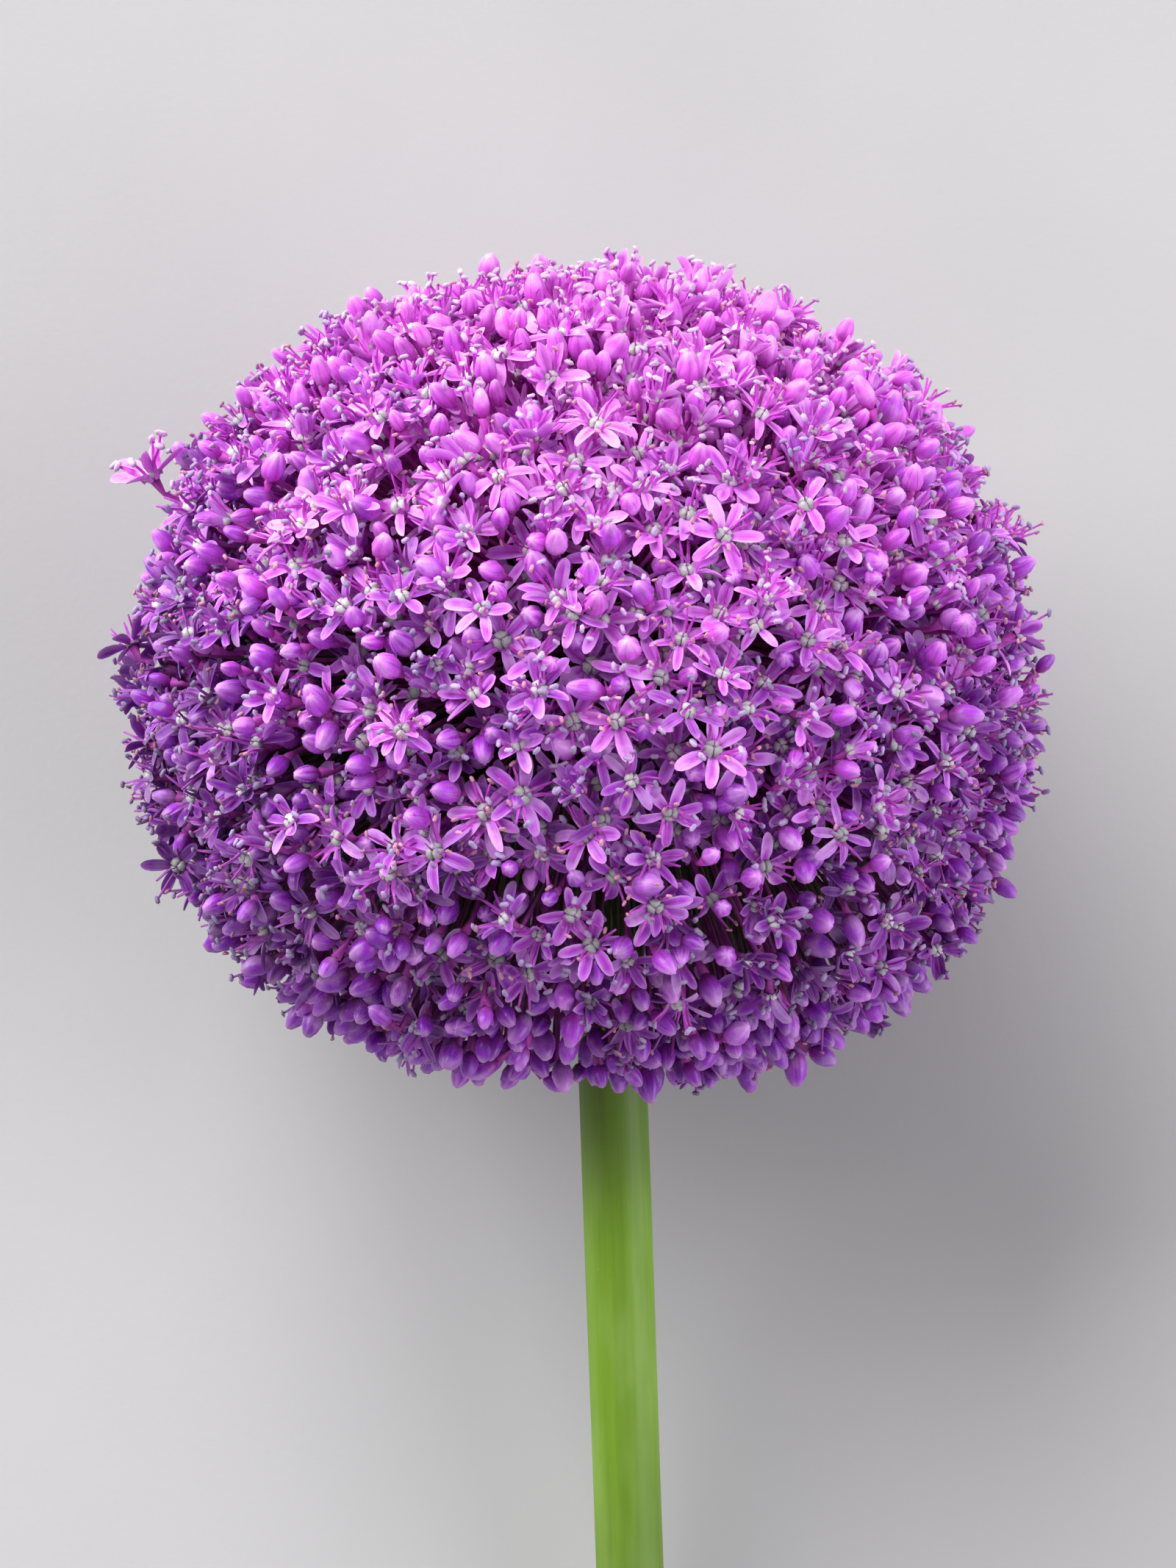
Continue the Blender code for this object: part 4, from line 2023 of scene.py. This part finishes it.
    def detail(self, floret: Floret, plant: PlantFrame) -> Detail:
        """How finely to model a floret, by how well it can be seen.

        Args:
            floret: The floret.
            plant: Where the plant lies.

        Returns:
            The detail.
        """
        slope = (unit(floret.base) @ plant.basis())[2]
        if floret.sunk > self.depth or slope < self.hidden_below:
            return HIDDEN
        return PLAIN if slope < self.plain_below else FINE

    def build(self, plant: PlantFrame, wardrobe: Wardrobe) -> list[bpy.types.Object]:
        """Models every cyme as a piece of open florets and a piece of buds.

        Args:
            plant: Where the plant lies.
            wardrobe: Where the materials come from.

        Returns:
            The pieces.
        """
        rng = np.random.default_rng(SEED)
        kinds = ("flowers", "buds")
        bunches = {(cyme, kind): Bunch() for cyme in range(self.cyme_count) for kind in kinds}
        for cyme, floret in self.florets(rng):
            way = unit(floret.base)
            lowest = min((way @ plant.basis())[2], way[2])
            if floret.sunk > self.depth and lowest < self.bare_below:
                continue
            kind = "buds" if floret.growth is Growth.BUD else "flowers"
            for patch in floret.build(self.detail(floret, plant), rng):
                patch.points = plant.pressed(plant.laid(patch.points))
                bunches[cyme, kind].add(patch)
        pieces = []
        for (cyme, kind), bunch in bunches.items():
            if not bunch.patches:
                continue
            node = f"floret_cyme_{cyme + 1:02d}"
            name = f"cyme_{cyme + 1:02d}_{kind}"
            piece = show(name, bunch.mesh(name, wardrobe))
            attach(piece, BODY)
            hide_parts(node)
            pieces.append(piece)
        return pieces


# ---- The scape ----------------------------------------------------------------------------------
@dataclass(frozen=True)
class Scape:
    """The flower stalk with the swollen receptacle at its top.

    Attributes:
        radius: Of the plain stalk.
        receptacle_radius: Of the round top.
        receptacle_foot: Polar angle at which the receptacle turns into its neck.
        neck: From there down to the plain stalk.
        lean: The foot stands towards +X by this angle.
        bevel: Of the cut edge.
        rind: Width of the green rim of the cut.
        dish: How far the pith has shrunk back from the cut.
        swelling: How much the stalk's thickness varies along it, as a share.
        swellings: How fast it does so, in radians a metre.
        sides: Vertices a ring.
        rings: Rings along the plain stalk.
        top_rings: Rings over the receptacle.
        neck_rings: Rings along the neck.
    """

    radius: float = 4.95 * MM
    receptacle_radius: float = 9.0 * MM
    receptacle_foot: float = math.radians(130)
    neck: float = 8.0 * MM
    lean: float = math.radians(2)
    bevel: float = 0.4 * MM
    rind: float = 0.6 * MM
    dish: float = 0.5 * MM
    swelling: float = 0.010
    swellings: float = 95.0
    sides: int = 72
    rings: int = 48
    top_rings: int = 22
    neck_rings: int = 10

    TOP_POLAR = 0.04  # polar angle of the small facet at the top
    RIBS = ((0.006, 11, 0.7), (0.004, 17, 0.0))  # height as a share, how many, and turned by
    RIB_TOP = 1.010  # radius where ribs of both kinds meet, as a share
    ROUNDING = 0.3  # how far in the middle of a rounded edge lies, as a share of its size
    PITH_SHARES = (0.8, 0.55, 0.3, 0.1)  # rings over the pith, as shares of its radius
    DISHING = 0.5  # how much shallower the dish is at its rim, as a share

    def profile(self, length: float) -> tuple[list[tuple[float, float]], int]:
        """The turned outline from the top pole to the middle of the cut.

        Args:
            length: From the middle of the receptacle to the cut.

        Returns:
            (radius, height) pairs, and how many of them lie outside the cut face.
        """
        points = []
        knob = self.receptacle_radius
        for polar in np.linspace(self.TOP_POLAR, self.receptacle_foot, self.top_rings):
            points.append((knob * math.sin(polar), knob * math.cos(polar)))
        foot_radius, foot_height = points[-1]
        for share in np.linspace(0, 1, self.neck_rings + 1)[1:]:
            radius = self.radius + (foot_radius - self.radius) * (1 - share) ** 2
            points.append((radius, foot_height - self.neck * share))
        start = points[-1][1]
        for share in np.linspace(0, 1, self.rings + 1)[1:]:
            points.append((self.radius, start + share * (self.bevel - length - start)))
        round_off = self.ROUNDING * self.bevel
        points.append((self.radius - round_off, -length + round_off))
        points.append((self.radius - self.bevel, -length))
        outside = len(points)
        inner = self.radius - self.bevel - self.rind
        points.append((inner + self.rind / 2, -length))
        points.append((inner, -length + self.ROUNDING * self.dish))
        for share in self.PITH_SHARES:
            points.append((inner * share, -length + self.dish * (1.0 - self.DISHING * share**2)))
        return points, outside

    def build(self, plant: PlantFrame, wardrobe: Wardrobe) -> bpy.types.Object:
        """Models the stalk.

        Args:
            plant: Where the plant lies.
            wardrobe: Where the materials come from.

        Returns:
            The piece.
        """
        profile, outside = self.profile(plant.scape_length)
        turn = np.arange(self.sides) * 2 * math.pi / self.sides
        ribs = 1.0
        for high, count, ahead in self.RIBS:
            ribs = ribs + high * np.cos(count * turn + ahead)
        rings = []
        for radius, height in profile:
            swell = 1 - self.swelling * (1 + math.sin(height * self.swellings)) / 2
            out = radius * ribs * swell / self.RIB_TOP
            rings.append(np.column_stack([out * np.cos(turn), out * np.sin(turn), turn * 0 + height]))
        rings = rings[::-1]  # from the cut up, so that the faces turn outwards
        points = np.vstack(rings)
        grain = points / self.radius
        cosine, sine = math.cos(self.lean), math.sin(self.lean)
        leant = np.column_stack([
            points[:, 0] * cosine - points[:, 2] * sine,
            points[:, 1],
            points[:, 0] * sine + points[:, 2] * cosine,
        ])
        leant = plant.laid(leant)
        leant[:, 2] = np.maximum(leant[:, 2], 0.0)
        quads = sleeve(len(rings), self.sides)
        inside = len(profile) - outside
        cut = quads[: inside * self.sides]
        skin = quads[inside * self.sides:]
        top = fan(range(len(points) - self.sides, len(points)), False)
        middle = fan(range(self.sides), True)
        rim = (inside + 1) * self.sides
        bunch = Bunch()
        bunch.add(Patch(leant, skin, top, grain, Tissue.SCAPE))
        bunch.add(Patch(leant[:rim], cut, middle, grain[:rim], Tissue.PITH))
        piece = show("scape_stalk", bunch.mesh("scape_stalk", wardrobe))
        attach(piece, BODY)
        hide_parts("scape")
        return piece


# ---- The studio ---------------------------------------------------------------------------------
@dataclass(frozen=True)
class Sun:
    """One large soft light that reaches everything evenly.

    Attributes:
        name: What to call it.
        way: The direction it comes from.
        strength: Its irradiance.
        tint: Its colour.
        spread: The angle that it fills.
    """

    name: str
    way: tuple[float, float, float]
    strength: float
    tint: Colour
    spread: float = math.radians(70)

    def build(self) -> None:
        """Hangs the light."""
        light = bpy.data.lights.new(self.name, "SUN")
        light.energy = self.strength
        light.angle = self.spread
        light.color = self.tint
        lamp = bpy.data.objects.new(self.name, light)
        bpy.context.scene.collection.objects.link(lamp)
        lamp.rotation_euler = Vector(self.way).to_track_quat("Z", "Y").to_euler()


@dataclass(frozen=True)
class Studio:
    """A pale table top, soft light and the camera.

    Attributes:
        elevation: Of the camera above the horizon.
        distance: From the camera to what it looks at.
        lens: Focal length in millimetres.
        sensor: Height of the sensor in millimetres.
        drop: How far below the middle of the umbel the camera looks.
        aside: How far to the right of it.
        floor_size: Side of the table top.
        suns: The lights from the upper left and from the right.
        room: Colour of the even light from all around.
        room_strength: Its strength.
    """

    elevation: float = math.radians(78)
    distance: float = 0.65
    lens: float = 106.0
    sensor: float = 36.0
    drop: float = 0.015
    aside: float = -0.0015
    floor_size: float = 6.0
    suns: tuple[Sun, ...] = (
        Sun("key", (-0.70, 0.76, 0.55), 5.8, (0.96, 0.98, 1.0)),
        Sun("fill", (0.94, -0.16, 0.30), 2.5, (0.90, 0.93, 1.0)),
    )
    room: Colour = (0.92, 0.88, 0.96)
    room_strength: float = 0.51

    def build(self, plant: PlantFrame) -> None:
        """Sets up floor, light and camera around the plant.

        Args:
            plant: Where the plant lies.
        """
        self._floor()
        self._world()
        for sun in self.suns:
            sun.build()
        self._camera(Vector(plant.centre))

    def _floor(self) -> None:
        """Lays the table top at z = 0."""
        bpy.ops.mesh.primitive_plane_add(size=self.floor_size)
        floor = bpy.context.object
        floor.name = "table_top"
        floor.data.materials.append(FloorFinish().material())
        floor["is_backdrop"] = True

    def _world(self) -> None:
        """Fills the room with even pale light."""
        world = bpy.data.worlds.new("room")
        world.use_nodes = True
        background = world.node_tree.nodes["Background"]
        background.inputs["Color"].default_value = (*self.room, 1.0)
        background.inputs["Strength"].default_value = self.room_strength
        bpy.context.scene.world = world

    def _camera(self, centre: Vector) -> None:
        """Sets the camera above the umbel, with the top of the plant up in the frame.

        Args:
            centre: The middle of the receptacle.
        """
        back = Vector((0.0, -math.cos(self.elevation), math.sin(self.elevation)))
        up = Vector((0.0, math.sin(self.elevation), math.cos(self.elevation)))
        right = Vector((1.0, 0.0, 0.0))
        data = bpy.data.cameras.new("camera")
        data.lens = self.lens
        data.sensor_width = self.sensor  # it is fitted to the frame's longer side, the height
        camera = bpy.data.objects.new("camera", data)
        bpy.context.scene.collection.objects.link(camera)
        target = centre - up * self.drop + right * self.aside
        turn = Matrix((right, up, back)).transposed().to_4x4()
        camera.matrix_world = Matrix.Translation(target + back * self.distance) @ turn
        bpy.context.scene.camera = camera
        bpy.context.scene.view_settings.view_transform = "Standard"


def report(piece: bpy.types.Object) -> int:
    """Logs what a piece holds.

    Args:
        piece: The piece.

    Returns:
        How many triangles it has.
    """
    triangles = sum(len(face.vertices) - 2 for face in piece.data.polygons)
    log.info("%s: %d triangles", piece.name, triangles)
    return triangles


def main() -> None:
    """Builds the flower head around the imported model."""
    logging.basicConfig(level=logging.INFO, format="%(name)s: %(message)s")
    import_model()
    scape = Scape()
    plant = PlantFrame.measured(scape.receptacle_radius, scape.radius, scape.lean)
    log.info("tilt %.2f degrees, scape %.1f mm", math.degrees(plant.tilt), plant.scape_length / MM)
    wardrobe = Wardrobe()
    Studio().build(plant)
    pieces = [scape.build(plant, wardrobe), *Umbel(plant.umbel_radius).build(plant, wardrobe)]
    log.info("%d triangles in all", sum(report(piece) for piece in pieces))


if __name__ == "__main__":
    main()
